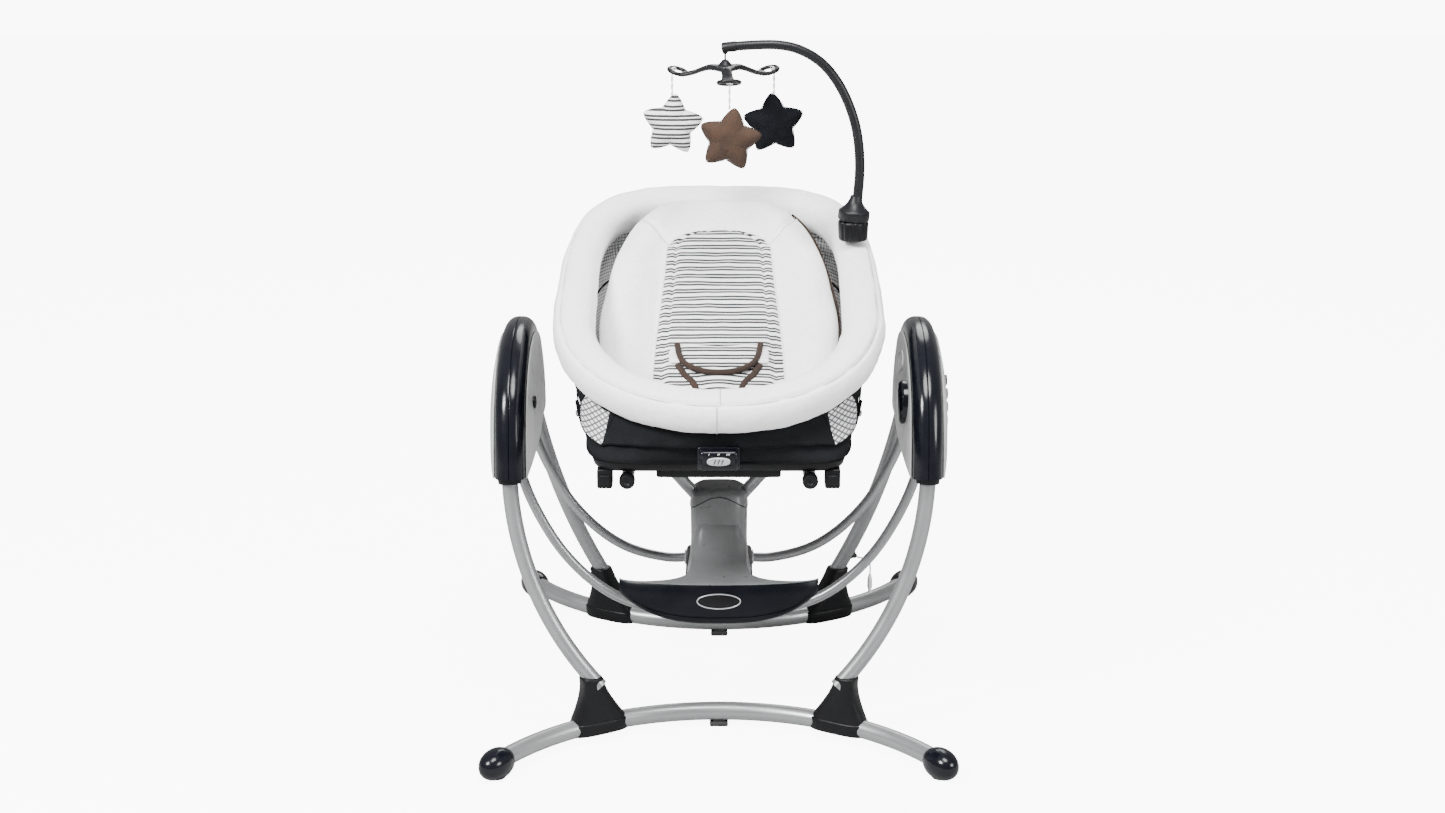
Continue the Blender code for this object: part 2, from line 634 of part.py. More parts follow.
def shell_ring(share, inset, angles):
    """A ring of the bassinet's wall: share 0 is under the rim, share 1 is on the tray."""
    ring = []
    for angle in angles:
        centre, out, up = rim_frame(angle)
        high = centre + out * 0.011 - up * (RIM_HALF[1] + 0.0015)
        low = base_outline(angle, 0.0)
        blend = share ** 1.25
        x = high.x + (low[0] - high.x) * blend
        y = high.y + (low[1] - high.y) * blend
        z = high.z + (SHELL_BASE_Z - high.z) * share
        inward = Vector((x, y - RIM_MIDDLE_Y, 0.0)).normalized() * inset
        ring.append((x - inward.x, y - inward.y, z))
    return ring


def bassinet_shell():
    angles = rim_angles(32)
    outer = [shell_ring(share, 0.0, angles) for share in (1.0, 0.85, 0.55, 0.25, 0.0)]
    inner = [shell_ring(share, SHELL_WALL, angles) for share in (0.0, 0.25, 0.55, 0.85)]
    floor_z = SHELL_BASE_Z + SHELL_WALL
    floor = [(x, y, floor_z) for x, y, z in shell_ring(1.0, SHELL_WALL, angles)]
    loft("bassinet_shell", outer + inner + [floor], "charcoal_fabric")


def seat_tray():
    """The tray under the bassinet, with its front lip and the brackets at its front corners."""
    rings = []
    for z, half_x, front, back in [(TRAY_Z[0], 0.180, -0.292, 0.278), (TRAY_Z[0] + 0.006, 0.189, -0.300, 0.288),
                                   (TRAY_Z[1], 0.191, -0.302, 0.290)]:
        middle = (front + back) / 2
        rings.append([(x, middle + y, z) for x, y in rounded_ring(half_x, (back - front) / 2, 14.0, 28)])
    tray = loft("seat_tray", rings, "black_plastic")
    join(tray, block("tray_lip", (-0.093, -0.284, 0.4400), (0.093, -0.150, TRAY_Z[0] + 0.002), bevel=0.003))
    for across, side_name in ((-1, "left"), (1, "right")):
        low, high = sorted((across * 0.158, across * 0.181))
        join(tray, block(f"tray_bracket_{side_name}", (low, -0.294, 0.4260), (high, -0.262, TRAY_Z[0] + 0.002),
                         bevel=0.003))


def rocker_frame():
    """The seat's own rocker: a bent tube whose two rails run under the tray."""
    rail = [(ROCKER_X, -0.287, 0.4400), (ROCKER_X, -0.200, 0.4325), (ROCKER_X, -0.070, 0.4262),
            (ROCKER_X, 0.080, 0.4265), (ROCKER_X, 0.190, 0.4330), (0.130, 0.240, 0.4375),
            (0.112, 0.268, 0.4400), (0.080, 0.280, 0.4410), (0.030, 0.282, 0.4412)]
    half = smooth_points(rail, 2)
    mirrored = [Vector((-p.x, p.y, p.z)) for p in reversed(half)]
    tube("rocker_frame", half + mirrored, ROCKER_RADIUS, "silver_paint", sides=8)
    for across, side_name in ((-1, "left"), (1, "right")):
        rod(f"rocker_cap_{side_name}", (across * ROCKER_X, -0.2887, 0.4400),
            (across * ROCKER_X, -0.3060, 0.4400), ROCKER_CAP_RADIUS, "black_plastic", sides=16,
            end_radius=ROCKER_CAP_RADIUS - 0.0012)


def vibration_parts():
    block("vibration_unit", (-0.029, -0.3500, 0.4710), (0.029, -0.3295, 0.5020), "black_plastic", bevel=0.004)
    block("vibration_switch", (-0.017, -0.3540, 0.4810), (0.017, -0.3503, 0.4935), "silver_plastic",
          bevel=0.0015)


def pad_path():
    """The pad's top line as (y, z): up the recline, and level at the seat."""
    y_seat, z_seat = PAD_SEAT
    reclined = [(y, z_seat + PAD_SLOPE * (y - y_seat)) for y in (0.258, 0.235, 0.195, 0.140, 0.060, -0.020, -0.070)]
    return reclined + [(-0.125, 0.5020), (-0.185, 0.4985), (-0.225, 0.5000)]


PAD_HALF_WIDTHS = [0.080, 0.120, 0.150, 0.170, 0.188, 0.190, 0.180, 0.165, 0.140, 0.110]


def insert_pad():
    path = pad_path()
    rings = []
    for k, ((y, z), half_x) in enumerate(zip(path, PAD_HALF_WIDTHS)):
        before = Vector(path[max(k - 1, 0)])
        after = Vector(path[min(k + 1, len(path) - 1)])
        along = (after - before).normalized()
        below = Vector((along.y, -along.x)) * (1 if along.x < 0 else -1)
        if below.y > 0:
            below = -below
        end = k in (0, len(path) - 1)
        half_t = 0.0080 if end else 0.0115
        rings.append([(x, y + below.x * (half_t + w), z + below.y * (half_t + w))
                      for x, w in rounded_ring(half_x, half_t, 2.6, 14)])
    loft("insert_pad", rings, "white_plush")


def harness():
    """The crotch pad, on the reclined part of the insert."""
    slope = Vector((0.0, 1.0, PAD_SLOPE)).normalized()
    lift = Vector((0.0, -slope.z, slope.y))
    origin = Vector((0.0, -0.035, PAD_SEAT[1] + PAD_SLOPE * (-0.035 - PAD_SEAT[0])))
    right = [(0.064, 0.042), (0.062, 0.022), (0.048, 0.002), (0.036, -0.014), (0.028, -0.034), (0.025, -0.056)]
    outline = right + [(-x, v) for x, v in reversed(right)]
    rings = [[origin + Vector((x, 0, 0)) + slope * v + lift * height for x, v in outline]
             for height in (0.0025, 0.0125)]
    loft("harness", rings, "striped_fabric")


# ---- mobile -------------------------------------------------------------------------
def mobile_clamp():
    rod("mobile_clamp", (CLAMP_X, CLAMP_Y, CLAMP_BOTTOM), (CLAMP_X, CLAMP_Y, COLLAR_BOTTOM - GAP),
        CLAMP_RADIUS - 0.0015, "black_plastic", sides=18, end_radius=CLAMP_RADIUS)


def mobile_arm():
    arm = rod("mobile_arm", (CLAMP_X, CLAMP_Y, COLLAR_BOTTOM), (CLAMP_X, CLAMP_Y, COLLAR_BOTTOM + 0.016),
              CLAMP_RADIUS, "black_plastic", sides=18, end_radius=CLAMP_RADIUS - 0.0005)
    join(arm, rod("arm_cone", (CLAMP_X, CLAMP_Y, COLLAR_BOTTOM + 0.0155),
                  (0.2215, CLAMP_Y, COLLAR_BOTTOM + 0.034), CLAMP_RADIUS - 0.0008, sides=18, end_radius=0.0095))
    route = smooth_points([(x, CLAMP_Y, z) for x, z in ARM_ROUTE], 2)
    join(arm, tube("arm_tube", route, ARM_RADIUS, sides=8))


def hub_angles():
    return {"striped": math.radians(150 + HUB_TURN), "brown": math.radians(270 + HUB_TURN),
            "navy": math.radians(30 + HUB_TURN)}


def mobile_hub():
    centre = Vector(HUB)
    hub = rod("mobile_hub", centre + Vector((0, 0, -0.012)), centre + Vector((0, 0, 0.012)), 0.014,
              "black_plastic", sides=14, end_radius=0.008)
    join(hub, rod("hub_stem", centre + Vector((0, 0, 0.010)), (HUB[0], HUB[1], 1.0170), 0.0012, sides=8))
    for star, angle in hub_angles().items():
        out = Vector((math.cos(angle), math.sin(angle), 0.0))
        across = Vector((-out.y, out.x, 0.0))
        rings = []
        for reach, rise, half_w, half_h in [(0.004, 0.002, 0.0090, 0.0045), (0.022, 0.0035, 0.0065, 0.0030),
                                            (0.045, -0.002, 0.0050, 0.0025), (0.070, -0.0085, 0.0055, 0.0022),
                                            (0.085, -0.0105, 0.0085, 0.0022), (0.100, -0.0085, 0.0085, 0.0022),
                                            (0.107, -0.0060, 0.0040, 0.0020)]:
            middle = centre + out * reach + Vector((0, 0, rise))
            rings.append([middle + across * u + Vector((0, 0, w))
                          for u, w in rounded_ring(half_w, half_h, 2.0, 8)])
        join(hub, loft(f"hub_arm_{star}", rings))


def star(name, angle):
    """A soft five-pointed star on its ribbon, hung under the tip of one hub arm."""
    x = HUB[0] + HUB_REACH * math.cos(angle)
    y = HUB[1] + HUB_REACH * math.sin(angle)
    rings = []
    for depth, size in [(-0.015, 0.55), (-0.010, 0.86), (0.0, 1.0), (0.010, 0.86), (0.015, 0.55)]:
        ring = []
        for k in range(20):
            turn = math.radians(90 + 18 * k)
            radius = STAR_RADIUS * (1.0, 0.78, 0.60, 0.78)[k % 4] * size
            ring.append((x + radius * math.cos(turn), y + depth, STAR_CENTRE_Z + radius * math.sin(turn)))
        rings.append(ring)
    body = loft(name, rings, name.replace("star", "").strip("_") + "_fabric")
    join(body, block(name + "_ribbon", (x - 0.0012, y - 0.0008, STAR_CENTRE_Z + 0.045),
                     (x + 0.0012, y + 0.0008, RIBBON_TOP)))


# ---- assembly -----------------------------------------------------------------------
for end in (-1, 1):
    tube_room = base_tube(end)
    end_label = "front" if end < 0 else "rear"
    center_pad(f"{end_label}_center_pad", end)
    leg_kind = FRONT_LEG if end < 0 else REAR_LEG
    for hand, hand_label in ((-1, "left"), (1, "right")):
        foot(f"foot_{end_label}_{hand_label}", hand * FOOT_X, end, tube_room)
        leg_socket(f"leg_socket_{end_label}_{hand_label}", leg_kind, hand, tube_room)
        leg_tube(f"leg_{end_label}_{hand_label}", leg_kind, hand)

tower(-1)
tower(1)
drive_parts()
power_lead()
hanger("front_hanger", -PIVOT_Y)
hanger("rear_hanger", PIVOT_Y)
glider_chassis()
pedestal_shell()
pod_cover()
seat_cradle()
seat_tray()
rocker_frame()
vibration_parts()
rim()
bassinet_shell()
insert_pad()
harness()
mobile_clamp()
mobile_arm()
mobile_hub()
for star_name, star_angle in hub_angles().items():
    star(f"star_{star_name}", star_angle)

front = carrier("front_hanger_axis", (0, -PIVOT_Y, PIVOT_Z), ["front_hanger"])
carrier("rear_hanger_axis", (0, PIVOT_Y, PIVOT_Z), ["rear_hanger"])
glider = carrier("glider_axis", (0, -PIVOT_Y, HANGER_LOW_Z),
                 ["glider_chassis", "pedestal_shell", "pod_cover", "seat_cradle"], front)
seat = carrier("seat_axis", (0, 0, DOCK_Z[1]),
               ["seat_tray", "rocker_frame", "rocker_cap_left", "rocker_cap_right", "vibration_unit",
                "rim_tube", "rim_cushion", "bassinet_shell", "insert_pad", "harness", "mobile_clamp"], glider)
carrier("switch_axis", (0, -0.3503, 0.487), ["vibration_switch"], seat)
arm_axis = carrier("arm_axis", (CLAMP_X, CLAMP_Y, COLLAR_BOTTOM), ["mobile_arm"], seat)
hub_axis = carrier("hub_axis", HUB, ["mobile_hub"], arm_axis)
for star_name, star_angle in hub_angles().items():
    tip = (HUB[0] + HUB_REACH * math.cos(star_angle), HUB[1] + HUB_REACH * math.sin(star_angle), RIBBON_TOP)
    carrier(f"star_{star_name}_axis", tip, [f"star_{star_name}"], hub_axis)
for button_name, (button_face, button_z) in BUTTONS.items():
    carrier(button_name + "_axis", (button_face, BUTTON_Y, button_z), [button_name])
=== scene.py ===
"""Looks of the gliding baby swing: painted tube, moulded plastic, plush, woven cloth and a mobile.

Metres, +Z up, +X to the right of someone facing the swing, -Y towards them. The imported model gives
the frame; the driving dimensions below are its own.
"""

from math import asin, atan2, copysign, cos, degrees, exp, pi, prod, radians, sin, sqrt

import bmesh
import bpy
from mathutils import Matrix, Vector, noise


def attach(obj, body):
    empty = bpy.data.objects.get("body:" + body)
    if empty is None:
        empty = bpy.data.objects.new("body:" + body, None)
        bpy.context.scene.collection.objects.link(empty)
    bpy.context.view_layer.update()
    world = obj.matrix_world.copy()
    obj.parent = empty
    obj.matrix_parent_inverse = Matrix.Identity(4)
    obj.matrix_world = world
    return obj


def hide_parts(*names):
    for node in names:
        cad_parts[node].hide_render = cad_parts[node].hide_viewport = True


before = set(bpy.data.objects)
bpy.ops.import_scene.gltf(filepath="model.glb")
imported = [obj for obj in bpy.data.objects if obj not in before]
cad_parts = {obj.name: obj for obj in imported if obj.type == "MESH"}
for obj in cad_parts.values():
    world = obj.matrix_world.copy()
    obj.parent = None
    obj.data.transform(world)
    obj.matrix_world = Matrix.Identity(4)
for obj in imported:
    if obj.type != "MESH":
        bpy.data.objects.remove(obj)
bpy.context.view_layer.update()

# ---- driving dimensions, as in the part -----------------------------------------------
BASE_MIDDLE, BASE_BEND, BASE_HEIGHT, BASE_RADIUS, BASE_END = 0.190, 0.385, 0.0235, 0.0143, 0.325
FOOT_X, FOOT_HALF, FOOT_CENTRE_Z = 0.333, (0.033, 0.023, 0.0235), 0.0215
SOCKET_X, SOCKET_BOTTOM, SOCKET_TOP = 0.187, 0.0135, 0.104
LEG_RADIUS, LEG_FOOT_Z, LEG_FOOT_Y, LEG_INSERT = 0.0125, 0.088, 0.243, 0.022
FRONT_LEG = dict(side=-1, top_x=0.3195, bend=0.498, bend_z=0.43, collar=(0.200, 0.412))
REAR_LEG = dict(side=1, top_x=0.325, bend=1.098, bend_z=0.60, collar=(0.172, 0.448))
LEGS = (("front", FRONT_LEG), ("rear", REAR_LEG))
SIDES = (("left", -1), ("right", 1))

TOWER_X, BAND_HALF_WIDTH, WEB, POCKET_DEPTH = 0.3185, 0.0235, 0.0025, 0.017
ARCH = [(-0.200, 0.412), (-0.190, 0.470), (-0.163, 0.527), (-0.105, 0.571), (-0.030, 0.5875),
        (0.050, 0.580), (0.119, 0.553), (0.160, 0.505), (0.172, 0.448)]
ARCH_HEM = [(0.137, 0.447), (0.060, 0.446), (-0.020, 0.442), (-0.100, 0.433), (-0.168, 0.420)]
BAND_SECTION = [(0.0002, 0.0224), (0.0007, 0.0233), (0.0020, 0.0235), (0.0065, 0.0230), (0.0105, 0.0219),
                (0.0140, 0.0198), (0.0170, 0.0170), (0.0196, 0.0130), (0.0215, 0.0085), (0.0228, 0.0035),
                (0.0235, -0.0020)]
PANEL_CENTRE = (-0.010, 0.458)
OUTER_BULGE, INNER_BULGE = 0.0185, 0.0150
CROWN_POWER, CROWN_DEPTH, CROWN_INNER = 2.1, 0.84, 0.22      # the crown's curve, and its innermost ring's size
FACE = BAND_HALF_WIDTH + 0.0003      # from a tower's middle plane to a panel's back

PIVOT_Y, PIVOT_Z = 0.12, 0.510
HANGER_RADIUS, HANGER_LOW_Z = 0.008, 0.168
HANGER_SIDE = [(0.045, 0.168), (0.090, 0.168), (0.150, 0.184), (0.200, 0.216), (0.245, 0.264),
               (0.280, 0.322), (0.304, 0.380), (0.3165, 0.440), (0.3185, 0.501)]
HUB_COVER_RADIUS = 0.034
SPEAKER, SPEAKER_HALF = (-0.036, 0.553), (0.026, 0.0135)       # its middle and half size, as (y, z)
BUTTON_RADIUS, BUTTON_CLEARANCE, BUTTON_Y = 0.0085, 0.0007, -0.055
BUTTONS = (("power", 0.3585, 0.527), ("faster", 0.3603, 0.505), ("slower", 0.3612, 0.483),
           ("timer", 0.3614, 0.461))

CHASSIS_TOP = 0.1862
PLATE_Z = (0.2320, 0.2395)
POD_HALF_WIDTH = 0.157
NECK = [(0.1865, 0.052, -0.062, 0.066), (0.215, 0.047, -0.061, 0.064), (0.250, 0.0455, -0.058, 0.060),
        (0.290, 0.0460, -0.048, 0.056), (0.312, 0.0465, -0.042, 0.052), (0.327, 0.0430, -0.035, 0.046),
        (0.3345, 0.0330, -0.024, 0.036)]
FLARE = [(0.0430, -0.046), (0.0442, -0.105), (0.0472, -0.140), (0.0560, -0.162), (0.0800, -0.1785),
         (0.1180, -0.1845), (0.1450, -0.1790), (0.1555, -0.1705)]
PLATE_FRONT, PLATE_BULGE, POD_LIP = -0.172, 0.031, 0.0022
STRUT = [(0.026, 0.006, 0.303), (0.045, 0.002, 0.327), (0.0595, -0.002, 0.345), (0.083, -0.008, 0.378),
         (0.095, -0.012, 0.432)]
DOCK_Z, STRUT_RADIUS = (0.4250, 0.4530), 0.0100
TRAY_Z = (0.4535, 0.4700)
UNIT_FACE_Y, SWITCH_Z = -0.3499, 0.48725
ROCKER = [(0.136, -0.287, 0.4400), (0.136, -0.200, 0.4325), (0.136, -0.070, 0.4262), (0.136, 0.080, 0.4265),
          (0.136, 0.190, 0.4330), (0.130, 0.240, 0.4375), (0.112, 0.268, 0.4400), (0.080, 0.280, 0.4410),
          (0.030, 0.282, 0.4412)]
ROCKER_RADIUS, ROCKER_CAP_RADIUS = 0.0095, 0.0118

RIM_MIDDLE_Y, RIM_HALF_WIDTH, RIM_FRONT, RIM_REAR = -0.060, 0.258, 0.300, 0.420
RIM_HEIGHT, RIM_SLOPE, RIM_HALF, RIM_ROUND = 0.6425, 0.263, (0.033, 0.031), 0.90
SHELL_BASE_Z, BASE_HALF_WIDTH, BASE_FRONT, BASE_REAR, BASE_POWER = 0.4705, 0.199, 0.248, 0.355, 7.0
PAD_SLOPE, PAD_SEAT = 0.663, (-0.10, 0.512)
PAD_PATH = [(0.264, 0.036), (0.254, 0.082), (0.233, 0.119), (0.195, 0.150), (0.140, 0.170), (0.060, 0.188),
            (-0.020, 0.190), (-0.070, 0.180), (-0.125, 0.165), (-0.185, 0.140), (-0.225, 0.110)]
PAD_SEAT_Z = {-0.125: 0.5020, -0.185: 0.4985, -0.225: 0.5000}

CLAMP_X, CLAMP_Y, CLAMP_BOTTOM, COLLAR_BOTTOM = 0.217, 0.120, 0.7135, 0.7463
ARM_ROUTE = [(0.2230, 0.776), (0.2262, 0.832), (0.2215, 0.885), (0.2090, 0.929), (0.1890, 0.969),
             (0.1630, 1.0000), (0.1290, 1.0205), (0.0930, 1.0285), (0.0490, 1.0280), (0.0060, 1.0245)]
HUB, HUB_REACH = Vector((0.010, 0.120, 0.990)), 0.095
HUB_ARMS = (("striped", 154), ("brown", 274), ("navy", 34))
STAR_RADIUS, STAR_CENTRE_Z, STRING_TOP = 0.053, 0.894, 0.9776

FLAP_CLOTH, WINDOW_CLOTH, LINER_HEIGHT = (0.37, 0.037), (0.086, 0.066), 0.26      # the cloths as cut

CORD_RADIUS, CORD_LEG_Z, GROMMET = 0.0015, 0.134, (0.0055, 0.0060)
CORD_ROUTE = [(0.2505, 0.2375, 0.1225), (0.2580, 0.2385, 0.1185), (0.2620, 0.2395, 0.1105),
              (0.2630, 0.2400, 0.1015), (0.2625, 0.2400, 0.0920)]
GAP = 0.0003


# ---- materials ------------------------------------------------------------------------
class Look:
    """A Principled material whose detail comes from the position on the piece."""

    def __init__(self, name, slot, colour, roughness, **constants):
        self.slot = slot
        self.material = bpy.data.materials.new(name)
        self.material.use_nodes = True
        self.tree = self.material.node_tree
        self.shader = self.tree.nodes["Principled BSDF"]
        self.shader.inputs["Base Color"].default_value = (*colour, 1.0)
        self.shader.inputs["Roughness"].default_value = roughness
        for key, value in constants.items():
            self.shader.inputs[key.replace("_", " ")].default_value = value
        self.place = self.node("ShaderNodeTexCoord").outputs["Object"]
        self.normal = None

    def node(self, kind, values=None, **settings):
        made = self.tree.nodes.new(kind)
        for key, value in settings.items():
            setattr(made, key, value)
        for key, value in (values or {}).items():
            if isinstance(value, bpy.types.NodeSocket):
                self.tree.links.new(value, made.inputs[key])
            else:
                made.inputs[key].default_value = value
        return made

    def stretched(self, factors):
        return self.node("ShaderNodeVectorMath", {0: self.place, 1: factors}, operation="MULTIPLY").outputs[0]

    def noise(self, scale, detail=2.0, place=None):
        values = {"Vector": place or self.place, "Scale": scale, "Detail": detail}
        return self.node("ShaderNodeTexNoise", values).outputs["Fac"]

    def math(self, operation, a, b=0.0, c=0.0):
        return self.node("ShaderNodeMath", {0: a, 1: b, 2: c}, operation=operation).outputs[0]

    def remap(self, value, low, high, to_low=0.0, to_high=1.0):
        values = {"Value": value, "From Min": low, "From Max": high, "To Min": to_low, "To Max": to_high}
        return self.node("ShaderNodeMapRange", values).outputs["Result"]

    def along(self, direction):
        """The distance along a direction, in metres."""
        return self.node("ShaderNodeVectorMath", {0: self.place, 1: direction},
                         operation="DOT_PRODUCT").outputs["Value"]

    def wave(self, direction, pitch, warp=0.0):
        """A sine from 0 to 1 along a direction."""
        distance = self.along(direction)
        if warp:
            distance = self.math("MULTIPLY_ADD", self.noise(90.0), warp, distance)
        turn = self.math("MULTIPLY", distance, 2 * pi / pitch)
        return self.math("MULTIPLY_ADD", self.math("SINE", turn), 0.5, 0.5)

    def colours(self, factor, first, second):
        mix = self.node("ShaderNodeMix", data_type="RGBA")
        self.tree.links.new(factor, mix.inputs[0])
        for socket, colour in ((mix.inputs[6], first), (mix.inputs[7], second)):
            if isinstance(colour, bpy.types.NodeSocket):
                self.tree.links.new(colour, socket)
            else:
                socket.default_value = (*colour, 1.0)
        return mix.outputs[2]

    def use(self, socket, value):
        self.tree.links.new(value, self.shader.inputs[socket])

    def bump(self, height, distance, strength=1.0):
        values = {"Height": height, "Distance": distance, "Strength": strength}
        if self.normal:
            values["Normal"] = self.normal
        self.normal = self.node("ShaderNodeBump", values).outputs["Normal"]
        self.use("Normal", self.normal)


def painted_tube():
    look = Look("painted_tube", "silver_paint", (0.27, 0.275, 0.28), 0.36, Metallic=0.65, Coat_Weight=0.2,
                Coat_Roughness=0.18)
    flake = look.noise(2600.0, 1.0)
    look.use("Base Color", look.colours(flake, (0.23, 0.235, 0.24), (0.33, 0.335, 0.34)))
    look.use("Roughness", look.remap(look.noise(24.0, 4.0), 0.3, 0.7, 0.30, 0.40))
    look.bump(look.noise(420.0, 2.0), 0.00004)
    return look


def gloss_plastic(name, slot, colour, roughness, grain=0.00003, **constants):
    """Moulded plastic: a faint moulding ripple, wiped gloss, and a fine grain."""
    look = Look(name, slot, colour, roughness, **constants)
    lighter = tuple(min(1.0, c * 1.18 + 0.002) for c in colour)
    look.use("Base Color", look.colours(look.remap(look.noise(18.0, 3.0), 0.35, 0.65), colour, lighter))
    look.use("Roughness", look.remap(look.noise(40.0, 5.0), 0.3, 0.7, roughness - 0.05, roughness + 0.07))
    look.bump(look.noise(1500.0, 2.0), grain)
    look.bump(look.noise(9.0, 1.0), 0.0004, 0.35)
    return look


def bare_steel():
    look = Look("bare_steel", "steel", (0.55, 0.55, 0.56), 0.28, Metallic=1.0)
    drawn = look.noise(60.0, 3.0, look.stretched((1.0, 14.0, 14.0)))
    look.use("Roughness", look.remap(drawn, 0.3, 0.7, 0.22, 0.38))
    look.bump(drawn, 0.00002)
    return look


def plush():
    """Short-pile plush: clumps of pile a few millimetres across, and the pile itself."""
    look = Look("white_plush", "white_plush", (0.88, 0.88, 0.875), 0.95, Sheen_Weight=0.35,
                Sheen_Roughness=0.5)
    clumps = look.noise(170.0, 3.0)
    pile = look.noise(900.0, 2.0)
    look.use("Base Color", look.colours(look.remap(clumps, 0.30, 0.62), (0.84, 0.84, 0.838),
                                        (0.93, 0.93, 0.928)))
    look.bump(clumps, 0.0009, 0.65)
    look.bump(pile, 0.0004, 0.5)
    return look


def woven(name, slot, dark, light, pitch, roughness=0.9, **constants):
    """A plain weave: two crossing sets of threads, with uneven dyeing."""
    look = Look(name, slot, light, roughness, **constants)
    across = look.wave((1.0, 0.35, 0.0), pitch, 0.0006)
    down = look.wave((0.0, 0.45, 1.0), pitch, 0.0006)
    threads = look.math("MAXIMUM", across, down)
    uneven = look.remap(look.noise(35.0, 5.0), 0.3, 0.7)
    factor = look.math("MULTIPLY", look.remap(threads, 0.2, 1.0, 0.25, 1.0),
                       look.remap(uneven, 0, 1, 0.7, 1.0))
    look.use("Base Color", look.colours(factor, dark, light))
    look.bump(threads, 0.00025, 0.8)
    look.bump(look.noise(1400.0, 2.0), 0.0002, 0.5)
    return look


def striped(name, direction, pitch, spread, line):
    """White jersey with pairs of thin dark lines."""
    look = Look(name, "striped_fabric", (0.84, 0.84, 0.83), 0.92, Sheen_Weight=0.2)
    place = look.math("MULTIPLY_ADD", look.noise(26.0), 0.0012, look.along(direction))
    turns = look.math("DIVIDE", place, pitch)
    away = look.math("ABSOLUTE", look.math("SUBTRACT", look.math("FRACT", turns), 0.5))
    away = look.math("ABSOLUTE", look.math("SUBTRACT", away, spread / pitch / 2))
    mask = look.remap(away, line / pitch * 0.42, line / pitch * 0.58, 1.0, 0.0)
    ribs = look.wave((1.0, 0.0, 0.0), 0.0011, 0.0003)
    white = look.colours(ribs, (0.72, 0.72, 0.71), (0.88, 0.88, 0.87))
    look.use("Base Color", look.colours(mask, white, (0.018, 0.018, 0.020)))
    look.bump(ribs, 0.00018, 0.7)
    look.bump(look.noise(800.0), 0.0002, 0.5)
    return look


def knit(name, slot, dark, light, **constants):
    look = Look(name, slot, light, 0.92, **constants)
    ribs = look.math("MULTIPLY", look.wave((1.0, 0.3, 0.0), 0.0016, 0.0006),
                     look.wave((0.0, 0.2, 1.0), 0.0012, 0.0006))
    worn = look.math("MULTIPLY_ADD", look.noise(60.0, 4.0), 0.6, look.math("MULTIPLY", ribs, 0.5))
    look.use("Base Color", look.colours(look.remap(worn, 0.2, 0.75), dark, light))
    look.bump(ribs, 0.0003, 0.8)
    look.bump(look.noise(700.0, 3.0), 0.0004, 0.6)
    return look


def netting(name, dark, light, pitch, directions, limit, thin=0.62):
    """Open mesh over a pale backing. A set of lines fades out where it would run flat on the cloth."""
    look = Look(name, "white_plush", light, 0.8, Sheen_Weight=0.1)
    normal = look.node("ShaderNodeTexCoord").outputs["Normal"]
    lines = None
    for direction in directions:
        facing = look.node("ShaderNodeVectorMath", {0: normal, 1: direction},
                           operation="DOT_PRODUCT").outputs["Value"]
        shown = look.remap(look.math("ABSOLUTE", facing), limit, limit + 0.1, 1.0, 0.0)
        set_of_lines = look.math("MULTIPLY", shown,
                                 look.remap(look.wave(direction, pitch), thin, thin + 0.26))
        lines = look.math("MAXIMUM", lines, set_of_lines) if lines else set_of_lines
    look.use("Base Color", look.colours(lines, light, dark))
    look.bump(look.math("SUBTRACT", 1.0, lines), 0.0004, 0.9)
    return look


